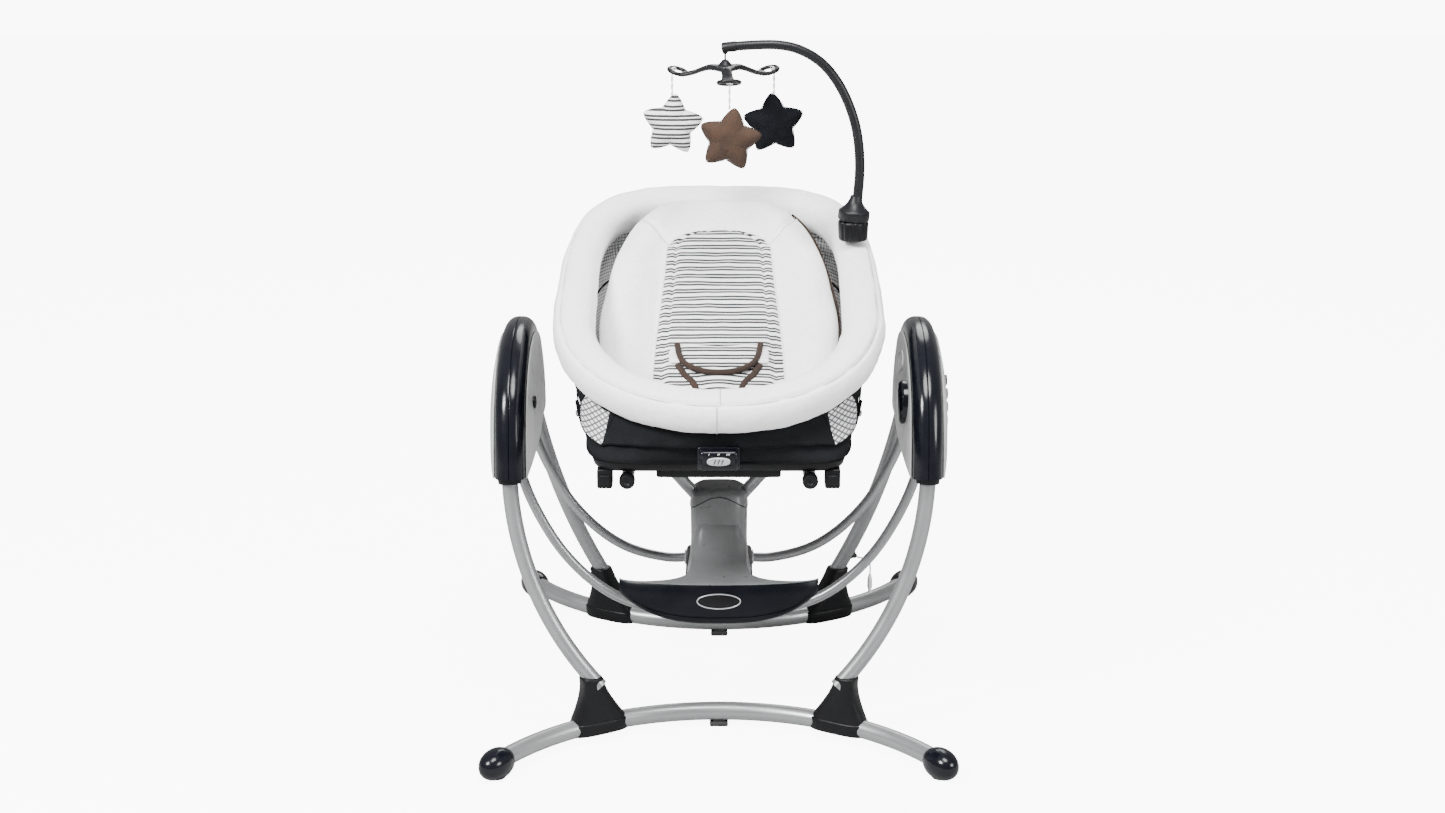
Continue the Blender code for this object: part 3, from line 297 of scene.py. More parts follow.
SLOPE_DIRECTION = Vector((0.0, 1.0, PAD_SLOPE)).normalized()
NAVY = (0.0022, 0.0028, 0.0050)
LOOKS = {
    "tube": painted_tube(),
    "navy": gloss_plastic("navy_gloss", "black_plastic", NAVY, 0.17, Specular_IOR_Level=0.28),
    "pod": gloss_plastic("navy_satin", "black_plastic", NAVY, 0.32, Specular_IOR_Level=0.12),
    "black": gloss_plastic("black_moulded", "black_plastic", (0.0025, 0.0026, 0.0033), 0.38, grain=0.00008,
                          Specular_IOR_Level=0.18),
    "arm": gloss_plastic("arm_grey", "black_plastic", (0.0048, 0.0050, 0.0060), 0.38, grain=0.00005,
                         Specular_IOR_Level=0.25),
    "panel": gloss_plastic("pale_panel", "silver_plastic", (0.42, 0.43, 0.425), 0.36, grain=0.00006),
    "trim": gloss_plastic("pale_metallic", "silver_plastic", (0.40, 0.41, 0.42), 0.30, Metallic=0.45),
    "grey": gloss_plastic("pedestal_grey", "grey_plastic", (0.150, 0.154, 0.157), 0.32,
                          Specular_IOR_Level=0.35),
    "button": gloss_plastic("button_dark", "dark_button", (0.045, 0.045, 0.050), 0.42),
    "mark": gloss_plastic("pale_mark", "white_plastic", (0.80, 0.81, 0.82), 0.50),
    "white": gloss_plastic("white_moulded", "white_plastic", (0.80, 0.80, 0.79), 0.38),
    "steel": bare_steel(),
    "rubber": gloss_plastic("rubber", "black_plastic", (0.016, 0.016, 0.016), 0.75, grain=0.00015),
    "plush": plush(),
    "charcoal": woven("charcoal_weave", "charcoal_fabric", (0.0022, 0.0025, 0.0030),
                      (0.0100, 0.0110, 0.0125), 0.0017, Specular_IOR_Level=0.12),
    "piping": woven("dark_piping", "charcoal_fabric", (0.0014, 0.0014, 0.0018), (0.0050, 0.0053, 0.0062),
                    0.0010, Specular_IOR_Level=0.12),
    "liner": netting("liner_mesh", (0.30, 0.30, 0.30), (0.96, 0.96, 0.96), 0.0052,
                     ((1.0, 0.0, 0.0), (0.0, 1.0, 0.0), (0.0, 0.0, 1.0)), 0.72, thin=0.74),
    "window": netting("window_mesh", (0.10, 0.10, 0.11), (0.84, 0.84, 0.84), 0.0064,
                      [Vector((0.6, 0.0, z)).normalized() for z in (-0.8, 0.8)], 0.90),
    "striped": striped("striped_jersey", SLOPE_DIRECTION, 0.0163, 0.0058, 0.0040),
    "star_striped": striped("striped_star_jersey", Vector((0.0, 0.0, 1.0)), 0.0150, 0.0058, 0.0037),
    "brown": knit("brown_knit", "brown_fabric", (0.0160, 0.0064, 0.0024), (0.056, 0.0245, 0.0095),
                  Sheen_Weight=0.05),
    "binding": knit("brown_binding", "brown_fabric", (0.0085, 0.0034, 0.0014), (0.032, 0.0135, 0.0062),
                    Sheen_Weight=0.05),
    "star_navy": knit("navy_knit", "navy_fabric", (0.0014, 0.0017, 0.0026), (0.0055, 0.0064, 0.0092),
                      Specular_IOR_Level=0.12),
    "thread": woven("seam_thread", "white_plush", (0.30, 0.30, 0.30), (0.50, 0.50, 0.50), 0.0011),
    "ribbon": woven("white_ribbon", "white_plush", (0.62, 0.62, 0.62), (0.86, 0.86, 0.86), 0.0011),
}


# ---- shape helpers --------------------------------------------------------------------
def smooth_points(points, steps, cyclic=False):
    """Points on a Catmull-Rom curve through the given points."""
    pts = [Vector(p) for p in points]
    if cyclic:
        ends = [pts[-1]] + pts + [pts[0], pts[1]]
    else:
        ends = [pts[0] * 2 - pts[1]] + pts + [pts[-1] * 2 - pts[-2]]
    out = []
    for a, b, c, d in zip(ends, ends[1:], ends[2:], ends[3:]):
        for k in range(steps):
            t = k / steps
            out.append(0.5 * (2 * b + (c - a) * t + (2 * a - 5 * b + 4 * c - d) * t * t
                              + (3 * b - a - 3 * c + d) * t ** 3))
    return out if cyclic else out + [pts[-1]]


def circle(count):
    """Evenly spread angles, once round."""
    return [2 * pi * k / count for k in range(count)]


def signed_power(value, power):
    return copysign(abs(value) ** power, value)


def even_steps(lengths, parts, count):
    """Where the first count points of a line cut into equal parts lie: (index, share of that length)."""
    run = [0.0]
    for length in lengths:
        run.append(run[-1] + length)
    out = []
    at = 0
    for k in range(count):
        goal = run[-1] * k / parts
        while at < len(lengths) - 1 and run[at + 1] < goal:
            at += 1
        out.append((at, (goal - run[at]) / (run[at + 1] - run[at])))
    return out


def superellipse(half_x, half_y, power, count):
    return [(half_x * signed_power(cos(a), 2 / power), half_y * signed_power(sin(a), 2 / power))
            for a in circle(count)]


def ease(t):
    """A smooth step from 0 to 1."""
    t = min(max(t, 0.0), 1.0)
    return t * t * (3 - 2 * t)


def add_loft(bm, rings, loop=False):
    """Skin rings of equal point counts; the ends are capped unless the rings form a loop."""
    rows = [[bm.verts.new(p) for p in ring] for ring in rings]
    count = len(rows[0])
    following = rows[1:] + rows[:1] if loop else rows[1:]
    for near, far in zip(rows, following):
        for i in range(count):
            j = (i + 1) % count
            bm.faces.new((near[i], near[j], far[j], far[i]))
    if not loop:
        bm.faces.new(rows[0])
        bm.faces.new(rows[-1])
    return bm


def add_strip(bm, rows):
    """A sheet of quads through rows of points."""
    grid = [[bm.verts.new(p) for p in row] for row in rows]
    for near, far in zip(grid, grid[1:]):
        for a, b, c, d in zip(near, near[1:], far[1:], far):
            bm.faces.new((a, b, c, d))
    return grid


def add_slab(bm, tops, bottoms):
    """A closed solid between two grids of points with the same plan."""
    upper = add_strip(bm, tops)
    lower = add_strip(bm, bottoms)

    def border(grid):
        return (grid[0] + [row[-1] for row in grid[1:]] + grid[-1][-2::-1]
                + [row[0] for row in grid[-2:0:-1]])

    high, low = border(upper), border(lower)
    for a, b, c, d in zip(high, high[1:] + high[:1], low[1:] + low[:1], low):
        bm.faces.new((a, b, c, d))
    return bm


def add_sweep(bm, points, radius, sides=24, cyclic=False, flat=1.0):
    """A tube along points; radius is a number or a function of the share of the way along."""
    pts = [Vector(p) for p in points]
    count = len(pts)
    tangents = []
    for k in range(count):
        before = pts[k - 1] if k or cyclic else pts[0]
        after = pts[(k + 1) % count] if k < count - 1 or cyclic else pts[-1]
        tangents.append((after - before).normalized())
    side = tangents[0].orthogonal().normalized()
    if abs(tangents[0].z) < 0.9:
        side = tangents[0].cross(Vector((0, 0, 1))).normalized()
    rings = []
    for k, (point, tangent) in enumerate(zip(pts, tangents)):
        side = (side - tangent * side.dot(tangent)).normalized()
        other = tangent.cross(side)
        size = radius(k / (count - 1)) if callable(radius) else radius
        rings.append([point + side * (size * cos(a)) + other * (size * flat * sin(a))
                      for a in circle(sides)])
    return add_loft(bm, rings, loop=cyclic)


def add_lathe(bm, centre, axis, profile, sides=40, wave=None):
    """A turned shape: profile holds (distance along the axis, radius) pairs."""
    axis = Vector(axis).normalized()
    side = axis.orthogonal().normalized()
    other = axis.cross(side)
    rings = []
    for along, radius in profile:
        ring = []
        for a in circle(sides):
            r = max(radius, 0.00001) * (wave(a) if wave else 1.0)
            ring.append(Vector(centre) + axis * along + side * (r * cos(a)) + other * (r * sin(a)))
        rings.append(ring)
    return add_loft(bm, rings)


def bore(centre, axis, radius, length, sides=48):
    """A plain rod to cut a round hole with."""
    return add_lathe(bmesh.new(), centre, axis, [(0.0, radius), (length, radius)], sides)


def add_box(bm, low, high, bevel, segments=4):
    low, high = Vector(low), Vector(high)
    made = bmesh.ops.create_cube(bm, size=1.0, matrix=Matrix.Translation((low + high) / 2)
                                 @ Matrix.Diagonal((*(high - low), 1.0)))
    edges = list({e for v in made["verts"] for e in v.link_edges})
    bmesh.ops.bevel(bm, geom=edges, offset=bevel, segments=segments, profile=0.5, affect="EDGES")
    return bm


def add_object(name, data):
    obj = bpy.data.objects.new(name, data)
    bpy.context.scene.collection.objects.link(obj)
    return obj


def make_object(name, bm):
    bmesh.ops.remove_doubles(bm, verts=bm.verts, dist=0.000004)
    bmesh.ops.recalc_face_normals(bm, faces=bm.faces)
    mesh = bpy.data.meshes.new(name)
    bm.to_mesh(mesh)
    bm.free()
    return add_object(name, mesh)


def dress(obj, look, body, nodes=(), sharp=40):
    """Give a finished mesh its material and its body, and hide the CAD nodes it stands for."""
    obj.data.materials.clear()
    obj.data.materials.append(LOOKS[look].material)
    obj.data.shade_smooth()
    obj.data.set_sharp_from_angle(angle=radians(sharp))
    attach(obj, body)
    if nodes:
        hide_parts(*nodes)
    return obj


def piece(name, bm, look, body, nodes=(), sharp=40):
    return dress(make_object(name, bm), look, body, nodes, sharp)


def stand_in(node, bm, look, body, sharp=40):
    """A finer shape for one CAD node."""
    return piece(node + "_shape", bm, look, body, [node], sharp)


def grid_of(rows, columns, place):
    """Two grids for add_slab, from the (upper, lower) points that place gives for a row and column."""
    pairs = [[place(i, j) for j in range(columns)] for i in range(rows)]
    return [[[both[side] for both in row] for row in pairs] for side in (0, 1)]


def apply_modifiers(obj):
    bpy.context.view_layer.update()
    seen = obj.evaluated_get(bpy.context.evaluated_depsgraph_get())
    mesh = bpy.data.meshes.new_from_object(seen)
    obj.modifiers.clear()
    obj.data = mesh


def cut_with(obj, cutters):
    """Cut solids out of a mesh for good."""
    for number, bm in enumerate(cutters):
        tool = make_object(f"{obj.name}_cutter_{number}", bm)
        mod = obj.modifiers.new("cut", "BOOLEAN")
        mod.operation, mod.solver, mod.object = "DIFFERENCE", "EXACT", tool
        apply_modifiers(obj)
        bpy.data.objects.remove(tool, do_unlink=True)


def inflate(obj, pressure, cap, frames, voxel=None):
    """Blow a closed mesh up as cloth, holding each point near where it was sewn."""
    if voxel:
        mod = obj.modifiers.new("remesh", "REMESH")
        mod.mode, mod.voxel_size = "VOXEL", voxel
        apply_modifiers(obj)
    start = [v.co.copy() for v in obj.data.vertices]
    cloth = obj.modifiers.new("cloth", "CLOTH")
    cloth.settings.quality = 5
    cloth.settings.mass = 0.15
    cloth.settings.tension_stiffness = cloth.settings.compression_stiffness = 15.0
    cloth.settings.bending_stiffness = 0.4
    cloth.settings.use_pressure = True
    cloth.settings.uniform_pressure_force = pressure
    cloth.settings.effector_weights.gravity = 0.0
    cloth.point_cache.frame_end = frames
    for step in range(1, frames + 1):
        bpy.context.scene.frame_set(step)
    apply_modifiers(obj)
    bpy.context.scene.frame_set(1)
    for vert, old in zip(obj.data.vertices, start):
        moved = vert.co - old
        if moved.length > cap:
            vert.co = old + moved.normalized() * cap
    mod = obj.modifiers.new("smooth", "SUBSURF")
    mod.levels = mod.render_levels = 1
    apply_modifiers(obj)


# ---- base and legs --------------------------------------------------------------------
def base_point(x, side):
    return Vector((x, side * (BASE_MIDDLE + BASE_BEND - sqrt(BASE_BEND ** 2 - x * x)), BASE_HEIGHT))


def base_tangent(x, side):
    return Vector((1.0, side * x / sqrt(BASE_BEND ** 2 - x * x), 0.0)).normalized()


def base_tubes():
    end = asin(BASE_END / BASE_BEND)
    for name, side in (("front_base_tube", -1), ("rear_base_tube", 1)):
        bm = bmesh.new()
        add_sweep(bm, [base_point(BASE_BEND * sin(end * (k / 32 - 1)), side) for k in range(65)],
                  BASE_RADIUS, sides=32)
        stand_in(name, bm, "tube", "frame")
        y = side * BASE_MIDDLE
        bm = bmesh.new()
        add_box(bm, (-0.0145, y - 0.0105, 0.0), (0.0145, y + 0.0105, 0.0080), 0.0025)
        add_box(bm, (-0.0095, y - 0.0075, 0.0060), (0.0095, y + 0.0075, 0.0130), 0.0015)
        stand_in(name.replace("base_tube", "center_pad"), bm, "rubber", "frame")


def feet():
    """Ellipsoid end caps, with the collar over the tube and a rubber pad underneath."""
    for end_name, side in (("front", -1), ("rear", 1)):
        for side_name, across in SIDES:
            centre = base_point(across * FOOT_X, side)
            tangent = base_tangent(across * FOOT_X, side) * across
            turn = Matrix.Rotation(atan2(tangent.y, tangent.x), 4, "Z")
            centre.z = FOOT_CENTRE_Z
            bm = bmesh.new()
            rings = []
            for k in range(33):
                a = pi * k / 32
                along = -cos(a)
                groove = 0.975 if 0.30 < along < 0.36 else 1.0
                girth = sin(a) ** 0.86 * groove
                rings.append([centre + turn @ Vector((FOOT_HALF[0] * along, y, max(z, 0.0030 - centre.z)))
                              for y, z in superellipse(FOOT_HALF[1] * girth, FOOT_HALF[2] * girth, 2.15, 48)])
            add_loft(bm, rings)
            stand_in(f"foot_{end_name}_{side_name}", bm, "navy", "frame")
            bm = bmesh.new()
            pad = [(0.0, 0.0), (0.0, 0.0128), (0.0008, 0.0136), (0.0022, 0.0136), (0.0030, 0.0122),
                   (0.0040, 0.0122), (0.0040, 0.0)]
            add_lathe(bm, (centre.x, centre.y, 0.0), (0, 0, 1), pad, wave=lambda a: 1 + 0.012 * cos(20 * a))
            piece(f"foot_pad_{end_name}_{side_name}", bm, "rubber", "frame")


def leg_x(leg, z):
    return leg["top_x"] - leg["bend"] + sqrt(leg["bend"] ** 2 - (leg["bend_z"] - z) ** 2)


def leg_point(leg, across, z):
    top_y, top_z = leg["collar"]
    y = top_y + (LEG_FOOT_Y - top_y) * (top_z - z) / (top_z - SOCKET_TOP)
    return Vector((across * leg_x(leg, z), leg["side"] * y, z))


def leg_up(leg, across):
    top_z = leg["collar"][1]
    return (leg_point(leg, across, top_z) - leg_point(leg, across, top_z - 0.01)).normalized()


def legs():
    for end_name, leg in LEGS:
        for side_name, across in SIDES:
            top_z = leg["collar"][1]
            heights = [LEG_FOOT_Z + (top_z - LEG_FOOT_Z) * k / 36 for k in range(37)]
            route = [leg_point(leg, across, z) for z in heights]
            route.append(route[-1] + leg_up(leg, across) * LEG_INSERT)
            bm = bmesh.new()
            add_sweep(bm, route, LEG_RADIUS, sides=32)
            stand_in(f"leg_{end_name}_{side_name}", bm, "tube", "frame")


def leg_sockets():
    """Cones over the base tubes, with a stepped flange at the foot."""
    section = [(0.0125, 0.0470, 0.0195), (0.0150, 0.0480, 0.0205), (0.0300, 0.0474, 0.0208),
               (0.0318, 0.0466, 0.0203), (0.0325, 0.0446, 0.0193), (0.0370, 0.0432, 0.0191),
               (0.0480, 0.0366, 0.0188), (0.0600, 0.0300, 0.0185), (0.0720, 0.0242, 0.0180),
               (0.0840, 0.0198, 0.0176), (0.0920, 0.0180, 0.0172), (0.1000, 0.0172, 0.0168),
               (0.1035, 0.0166, 0.0163), (0.1050, 0.0150, 0.0148)]
    for end_name, leg in LEGS:
        side = leg["side"]
        for side_name, across in SIDES:
            x = across * SOCKET_X
            low = base_point(x, side)
            tangent = base_tangent(x, side)
            normal = Vector((-tangent.y, tangent.x, 0.0))
            high = leg_point(leg, across, SOCKET_TOP)
            rings = []
            for z, half_along, half_across in section:
                share = max(0.0, (z - SOCKET_BOTTOM) / (SOCKET_TOP - SOCKET_BOTTOM)) ** 1.4
                centre = low.lerp(high, min(share, 1.02))
                rings.append([Vector((centre.x, centre.y, z)) + tangent * u + normal * v
                              for u, v in superellipse(half_along, half_across, 3.2, 56)])
            bm = bmesh.new()
            add_loft(bm, rings)
            stand_in(f"leg_socket_{end_name}_{side_name}", bm, "black", "frame", sharp=50)


# ---- towers ---------------------------------------------------------------------------
def arch_offset(distance, steps=8):
    """The arch's centre line moved outwards by a distance, as (y, z) pairs from front to back."""
    line = smooth_points([(y, z, 0.0) for y, z in ARCH], steps)
    out = []
    for k, point in enumerate(line):
        before = line[max(k - 1, 0)]
        after = line[min(k + 1, len(line) - 1)]
        along = (after - before).normalized()
        out.append((point.x - along.y * distance, point.y + along.x * distance))
    return out


def hem(shift=0.0):
    """The tower's lower edge, from back to front."""
    return [(p.x, p.y + shift) for p in smooth_points([(y, z, 0.0) for y, z in ARCH_HEM], 3)]


def tower_shell(side_name, across):
    """Both half shells of the band, with the seam between them and the hollow for the hangers."""
    inner = arch_offset(-0.0235)
    lower_edge = [inner[-1]] + hem() + [inner[0]]
    for outward, half_name in ((1, "outer"), (-1, "inner")):
        rings = []
        for from_middle, offset in BAND_SECTION:
            x = across * (TOWER_X + outward * from_middle)
            rings.append([(x, y, z) for y, z in arch_offset(offset) + lower_edge])
        bm = bmesh.new()
        add_loft(bm, rings)
        name = f"tower_{half_name}_half_{side_name}"
        shell = make_object(name + "_shape", bm)
        hollow = arch_offset(-POCKET_DEPTH, 3)
        pocket = hollow + [(hollow[-1][0], 0.38), (hollow[0][0], 0.38)]
        ends = (across * (TOWER_X + outward * (BAND_HALF_WIDTH - WEB)), across * (TOWER_X - outward * 0.01))
        bm = bmesh.new()
        add_loft(bm, [[(x, y, z) for y, z in pocket] for x in ends])
        cut_with(shell, [bm])
        dress(shell, "navy", "frame", [name], sharp=32)


def tower_panels(side_name, across):
    """Crowned side covers, undercut at their edge so that a dark gap shows round them."""
    crown = [(-0.0030, 1.0, 0.0), (-0.0012, 1.0, 0.035), (-0.0004, 1.0, 0.09), (-0.0010, 1.0, 0.14)]
    crown += [(-0.0010, size, 1 - size ** CROWN_POWER * CROWN_DEPTH)
              for size in (0.985, 0.95, 0.90, 0.84, 0.76, 0.66, 0.54, 0.40, CROWN_INNER)]
    for outward, bulge, panel in ((1, OUTER_BULGE, "outer"), (-1, INNER_BULGE, "inner")):
        rings = []
        for inset, size, rise in crown:
            x = across * (TOWER_X + outward * (FACE + bulge * rise))
            outline = arch_offset(inset, 6) + hem(0.002 - 0.6 * inset)
            rings.append([(x, PANEL_CENTRE[0] + (y - PANEL_CENTRE[0]) * size,
                           PANEL_CENTRE[1] + (z - PANEL_CENTRE[1]) * size) for y, z in outline])
        bm = bmesh.new()
        add_loft(bm, rings)
        name = f"tower_{panel}_panel_{side_name}"
        cover = make_object(name + "_shape", bm)
        if (panel, across) == ("outer", 1):
            cut_with(cover, [bore((x - 0.0066, BUTTON_Y, z), (1, 0, 0), BUTTON_RADIUS + BUTTON_CLEARANCE,
                                  0.02) for _, x, z in BUTTONS])
        dress(cover, "panel", "frame", [name], sharp=30)


def collars(side_name, across):
    """The dark rings with a groove where each leg enters its tower."""
    profile = [(-0.030, 0.0160), (-0.0292, 0.0178), (-0.0160, 0.0192), (-0.0150, 0.0182), (-0.0130, 0.0182),
               (-0.0120, 0.0196), (0.0, 0.0208), (0.008, 0.0210)]
    for end_name, leg in LEGS:
        up = leg_up(leg, across)
        mouth = leg_point(leg, across, leg["collar"][1])
        bm = bmesh.new()
        add_lathe(bm, mouth + up * 0.022, up, profile, sides=48)
        piece(f"leg_collar_{end_name}_{side_name}", bm, "black", "frame")


def towers():
    for side_name, across in SIDES:
        tower_shell(side_name, across)
        tower_panels(side_name, across)
        collars(side_name, across)


def drive_hub():
    """The round cover over the drive, on the right tower's inner side, and the pivot cap on the left."""
    face = TOWER_X - FACE
    bm = bmesh.new()
    profile = [(-0.001, HUB_COVER_RADIUS), (0.010, HUB_COVER_RADIUS), (0.0140, HUB_COVER_RADIUS - 0.0010),
               (0.0168, HUB_COVER_RADIUS - 0.0040), (0.0180, HUB_COVER_RADIUS - 0.0080),
               (0.0176, HUB_COVER_RADIUS - 0.0110), (0.0182, HUB_COVER_RADIUS - 0.0120), (0.0188, 0.012),
               (0.0190, 0.0)]
    add_lathe(bm, (face, -PIVOT_Y, PIVOT_Z), (-1, 0, 0), profile, sides=64)
    stand_in("drive_hub_cover", bm, "navy", "frame", sharp=35)
    bm = bmesh.new()
    cap = [(0.0, 0.0100), (0.0100, 0.0100), (0.0120, 0.0085), (0.0126, 0.0050), (0.0118, 0.0030),
           (0.0118, 0.0)]
    add_lathe(bm, (-face, -PIVOT_Y, PIVOT_Z), (1, 0, 0), cap, sides=32)
    piece("pivot_cap_left", bm, "black", "frame")


def panel_depth(y, z, bulge):
    """How far a crowned panel stands out of its face at a place, from its crown's formula."""
    middle = Vector(PANEL_CENTRE)
    outline = [Vector(place) - middle for place in arch_offset(-0.0010, 6) + hem(0.0026)]
    toward = Vector((y, z)) - middle
    size = 0.0
    for a, b in zip(outline, outline[1:] + outline[:1]):
        edge = b - a
        cross = toward.x * edge.y - toward.y * edge.x
        if abs(cross) < 1e-12:
            continue
        reach = (a.x * edge.y - a.y * edge.x) / cross
        share = (a.x * toward.y - a.y * toward.x) / cross
        if reach > 0 and 0 <= share <= 1:
            size = 1 / reach
    return bulge * (1 - max(size, CROWN_INNER) ** CROWN_POWER * CROWN_DEPTH)


def speaker_grille():
    """An oval of slats near the top of the right tower's inner panel."""
    (centre_y, centre_z), (half_y, half_z) = SPEAKER, SPEAKER_HALF

    def on_panel(y, z, proud):
        return TOWER_X - FACE - panel_depth(y, z, INNER_BULGE) - proud, y, z

    def oval(size, proud, wider=0.0):
        return [on_panel(centre_y + (half_y + wider) * size * cos(a),
                         centre_z + (half_z + wider) * size * sin(a), proud) for a in circle(48)]

    bm = bmesh.new()
    add_sweep(bm, oval(1.0, 0.0002, wider=0.001), 0.0011, sides=10, cyclic=True)
    for k in range(-4, 5):
        z = centre_z + k * 0.0028
        reach = half_y * sqrt(max(0.0, 1 - ((z - centre_z) / half_z) ** 2))
        slat = [on_panel(centre_y + reach * (j / 8 - 1), z, 0.0001) for j in range(17)]
        add_sweep(bm, slat, 0.0008, sides=8)
    piece("speaker_grille", bm, "panel", "frame")
    rings = [oval(size, 0.00025) for size in (1.0, 0.66, 0.33, 0.05)]
    rings.insert(0, [(x + 0.001, y, z) for x, y, z in rings[0]])
    piece("speaker_backing", add_loft(bmesh.new(), rings), "black", "frame")


def control_buttons():
    """Four dished buttons on the right tower's outer panel, each with a plain mark on it."""
    edge = BUTTON_RADIUS
    dish = [(0.0, edge), (0.0044, edge), (0.0050, edge - 0.0006), (0.0052, edge - 0.0014),
            (0.0046, edge - 0.0030), (0.0043, 0.002), (0.0043, 0.0)]
    ring = [(0.003 * cos(a), 0.003 * sin(a)) for a in circle(24)]
    gap_ring = [(0.003 * cos(a), 0.003 * sin(a)) for a in arc(-240, 60, 20)]
    # each mark's strokes as (y, z) from the button's middle, and whether the stroke is closed
    marks = {"power": [(gap_ring, False), ([(0, 0.001), (0, 0.004)], False)],
             "timer": [(ring, True), ([(0, 0.0018), (0, 0), (0.0014, 0)], False)],
             "faster": [([(-0.003, -0.0015), (0, 0.0015), (0.003, -0.0015)], False)],
             "slower": [([(-0.003, 0.0015), (0, -0.0015), (0.003, 0.0015)], False)]}
    for name, x, z in BUTTONS:
        bm = bmesh.new()
        add_lathe(bm, (x - 0.0052, BUTTON_Y, z), (1, 0, 0), dish, sides=36)
        stand_in(f"button_{name}", bm, "button", f"{name}_key")
        bm = bmesh.new()
        for stroke, closed in marks[name]:
            add_sweep(bm, [(x - 0.0004, BUTTON_Y + u, z + v) for u, v in stroke], 0.0004, sides=6,
                      cyclic=closed)
        piece(f"mark_{name}", bm, "mark", f"{name}_key")


# ---- hangers and pedestal -------------------------------------------------------------
def hangers():
    half = smooth_points([(x, 0.0, z) for x, z in HANGER_SIDE], 6)
    route = [Vector((-p.x, 0.0, p.z)) for p in reversed(half)] + half
    for name, y in (("front_hanger", -PIVOT_Y), ("rear_hanger", PIVOT_Y)):
        bm = bmesh.new()
        add_sweep(bm, [(p.x, y, p.z) for p in route], HANGER_RADIUS, sides=28)
        for across in (-1, 1):
            eye = [(-0.010, 0.0062), (-0.010, 0.0115), (-0.009, 0.0125), (0.009, 0.0125), (0.010, 0.0115),
                   (0.010, 0.0062)]
            add_lathe(bm, (across * TOWER_X, y, PIVOT_Z), (1, 0, 0), eye, sides=36)
        stand_in(name, bm, "tube", name + "_arm")


def glider_chassis():
    bm = bmesh.new()
    add_box(bm, (-0.055, -0.136, 0.1560), (0.055, 0.136, CHASSIS_TOP), 0.0075, segments=5)
    chassis = make_object("glider_chassis_shape", bm)
    cut_with(chassis, [bore((-0.09, y, HANGER_LOW_Z), (1, 0, 0), HANGER_RADIUS + 0.0006, 0.18, sides=40)
                       for y in (-PIVOT_Y, PIVOT_Y)])
    dress(chassis, "black", "glider", ["glider_chassis"])
    bm = bmesh.new()
    for across in (-1, 1):
        for y in (-PIVOT_Y, PIVOT_Y):
            ring = [(0.0, 0.0088), (0.0, 0.0125), (0.0022, 0.0125), (0.0030, 0.0117), (0.0030, 0.0088),
                    (0.0, 0.0088)]
            add_lathe(bm, (across * 0.055, y, HANGER_LOW_Z), (across, 0, 0), ring, sides=36)
    piece("chassis_bushings", bm, "trim", "glider")


def neck_at(z):
    """The neck's section at a height, between its lofted rings."""
    for (z1, *one), (z2, *two) in zip(NECK, NECK[1:]):
        if z <= z2:
            t = (z - z1) / (z2 - z1)
            return [a + (b - a) * t for a, b in zip(one, two)]
    return NECK[-1][1:]


def neck_ring(z, count=72, power=3.6):
    half_x, front, back = neck_at(z)
    return [(x, (front + back) / 2 + y, z) for x, y in superellipse(half_x, (back - front) / 2, power, count)]


def pedestal_neck():
    low = NECK[0][0]
    heights = [low + (0.3200 - low) * k / 24 for k in range(25)] + [0.3235, 0.3270, 0.3300, 0.3322]
    rings = [neck_ring(z) for z in heights]
    cap = neck_ring(0.3322)
    centre_y = sum(p[1] for p in cap) / len(cap)
    for size, z in ((0.93, 0.3336), (0.80, 0.3343), (0.5, 0.3345)):
        rings.append([(x * size, centre_y + (y - centre_y) * size, z) for x, y, _ in cap])
    piece("pedestal_neck", add_loft(bmesh.new(), rings), "grey", "glider", ["pedestal_shell"], sharp=50)
    bm = bmesh.new()
    ring = []
    for k in range(96):
        x = neck_ring(0.3150, 96)[k][0]
        z = 0.3035 + 0.0225 * cos(pi / 2 * x / 0.0466)
        around = neck_ring(z, 96)[k]
        ring.append((around[0] * 1.004, around[1] * 1.004, z))
    add_sweep(bm, ring, 0.0007, sides=8, cyclic=True)
    piece("pedestal_seam", bm, "black", "glider")


def front_edge(x):
    """How far forward the pedestal's plate and pod reach at a place across them."""
    return PLATE_FRONT - PLATE_BULGE * sqrt(1 - (x / POD_HALF_WIDTH) ** 2)


def pedestal_plate():
    """The tongue that runs forward from the neck and spreads into the thin half-moon plate."""
    side = [(p.x, p.y) for p in smooth_points([(x, y, 0.0) for x, y in FLARE], 8)]
    half = [(side[0][0] * k / 10, side[0][1]) for k in range(10)] + side
    outline = [(-x, y) for x, y in reversed(half[1:])] + half
    top, neck_front, steps = 0.2850, -0.050, 32

    def place(i, j):
        x, rear = outline[i]
        t = j / steps
        y = rear + (front_edge(x) + POD_LIP - rear) * t
        out = Vector((max(0.0, abs(x) - side[0][0]), max(0.0, neck_front - y))).length
        rise = (top - PLATE_Z[1]) * max(0.0, 1 - out / 0.095) ** 4.2
        shoulder = 0.60 * rise * min(1.0, max(0.0, (abs(x) - 0.024) / 0.019)) ** 2
        edge = 0.0016 * max(0.0, (t - 0.965) / 0.035) ** 2
        return (x, y, PLATE_Z[1] + rise - shoulder - edge), (x, y, PLATE_Z[0] + edge * 0.3)

    bm = bmesh.new()
    add_slab(bm, *grid_of(len(outline), steps + 1, place))
    piece("pedestal_plate", bm, "grey", "glider", sharp=45)


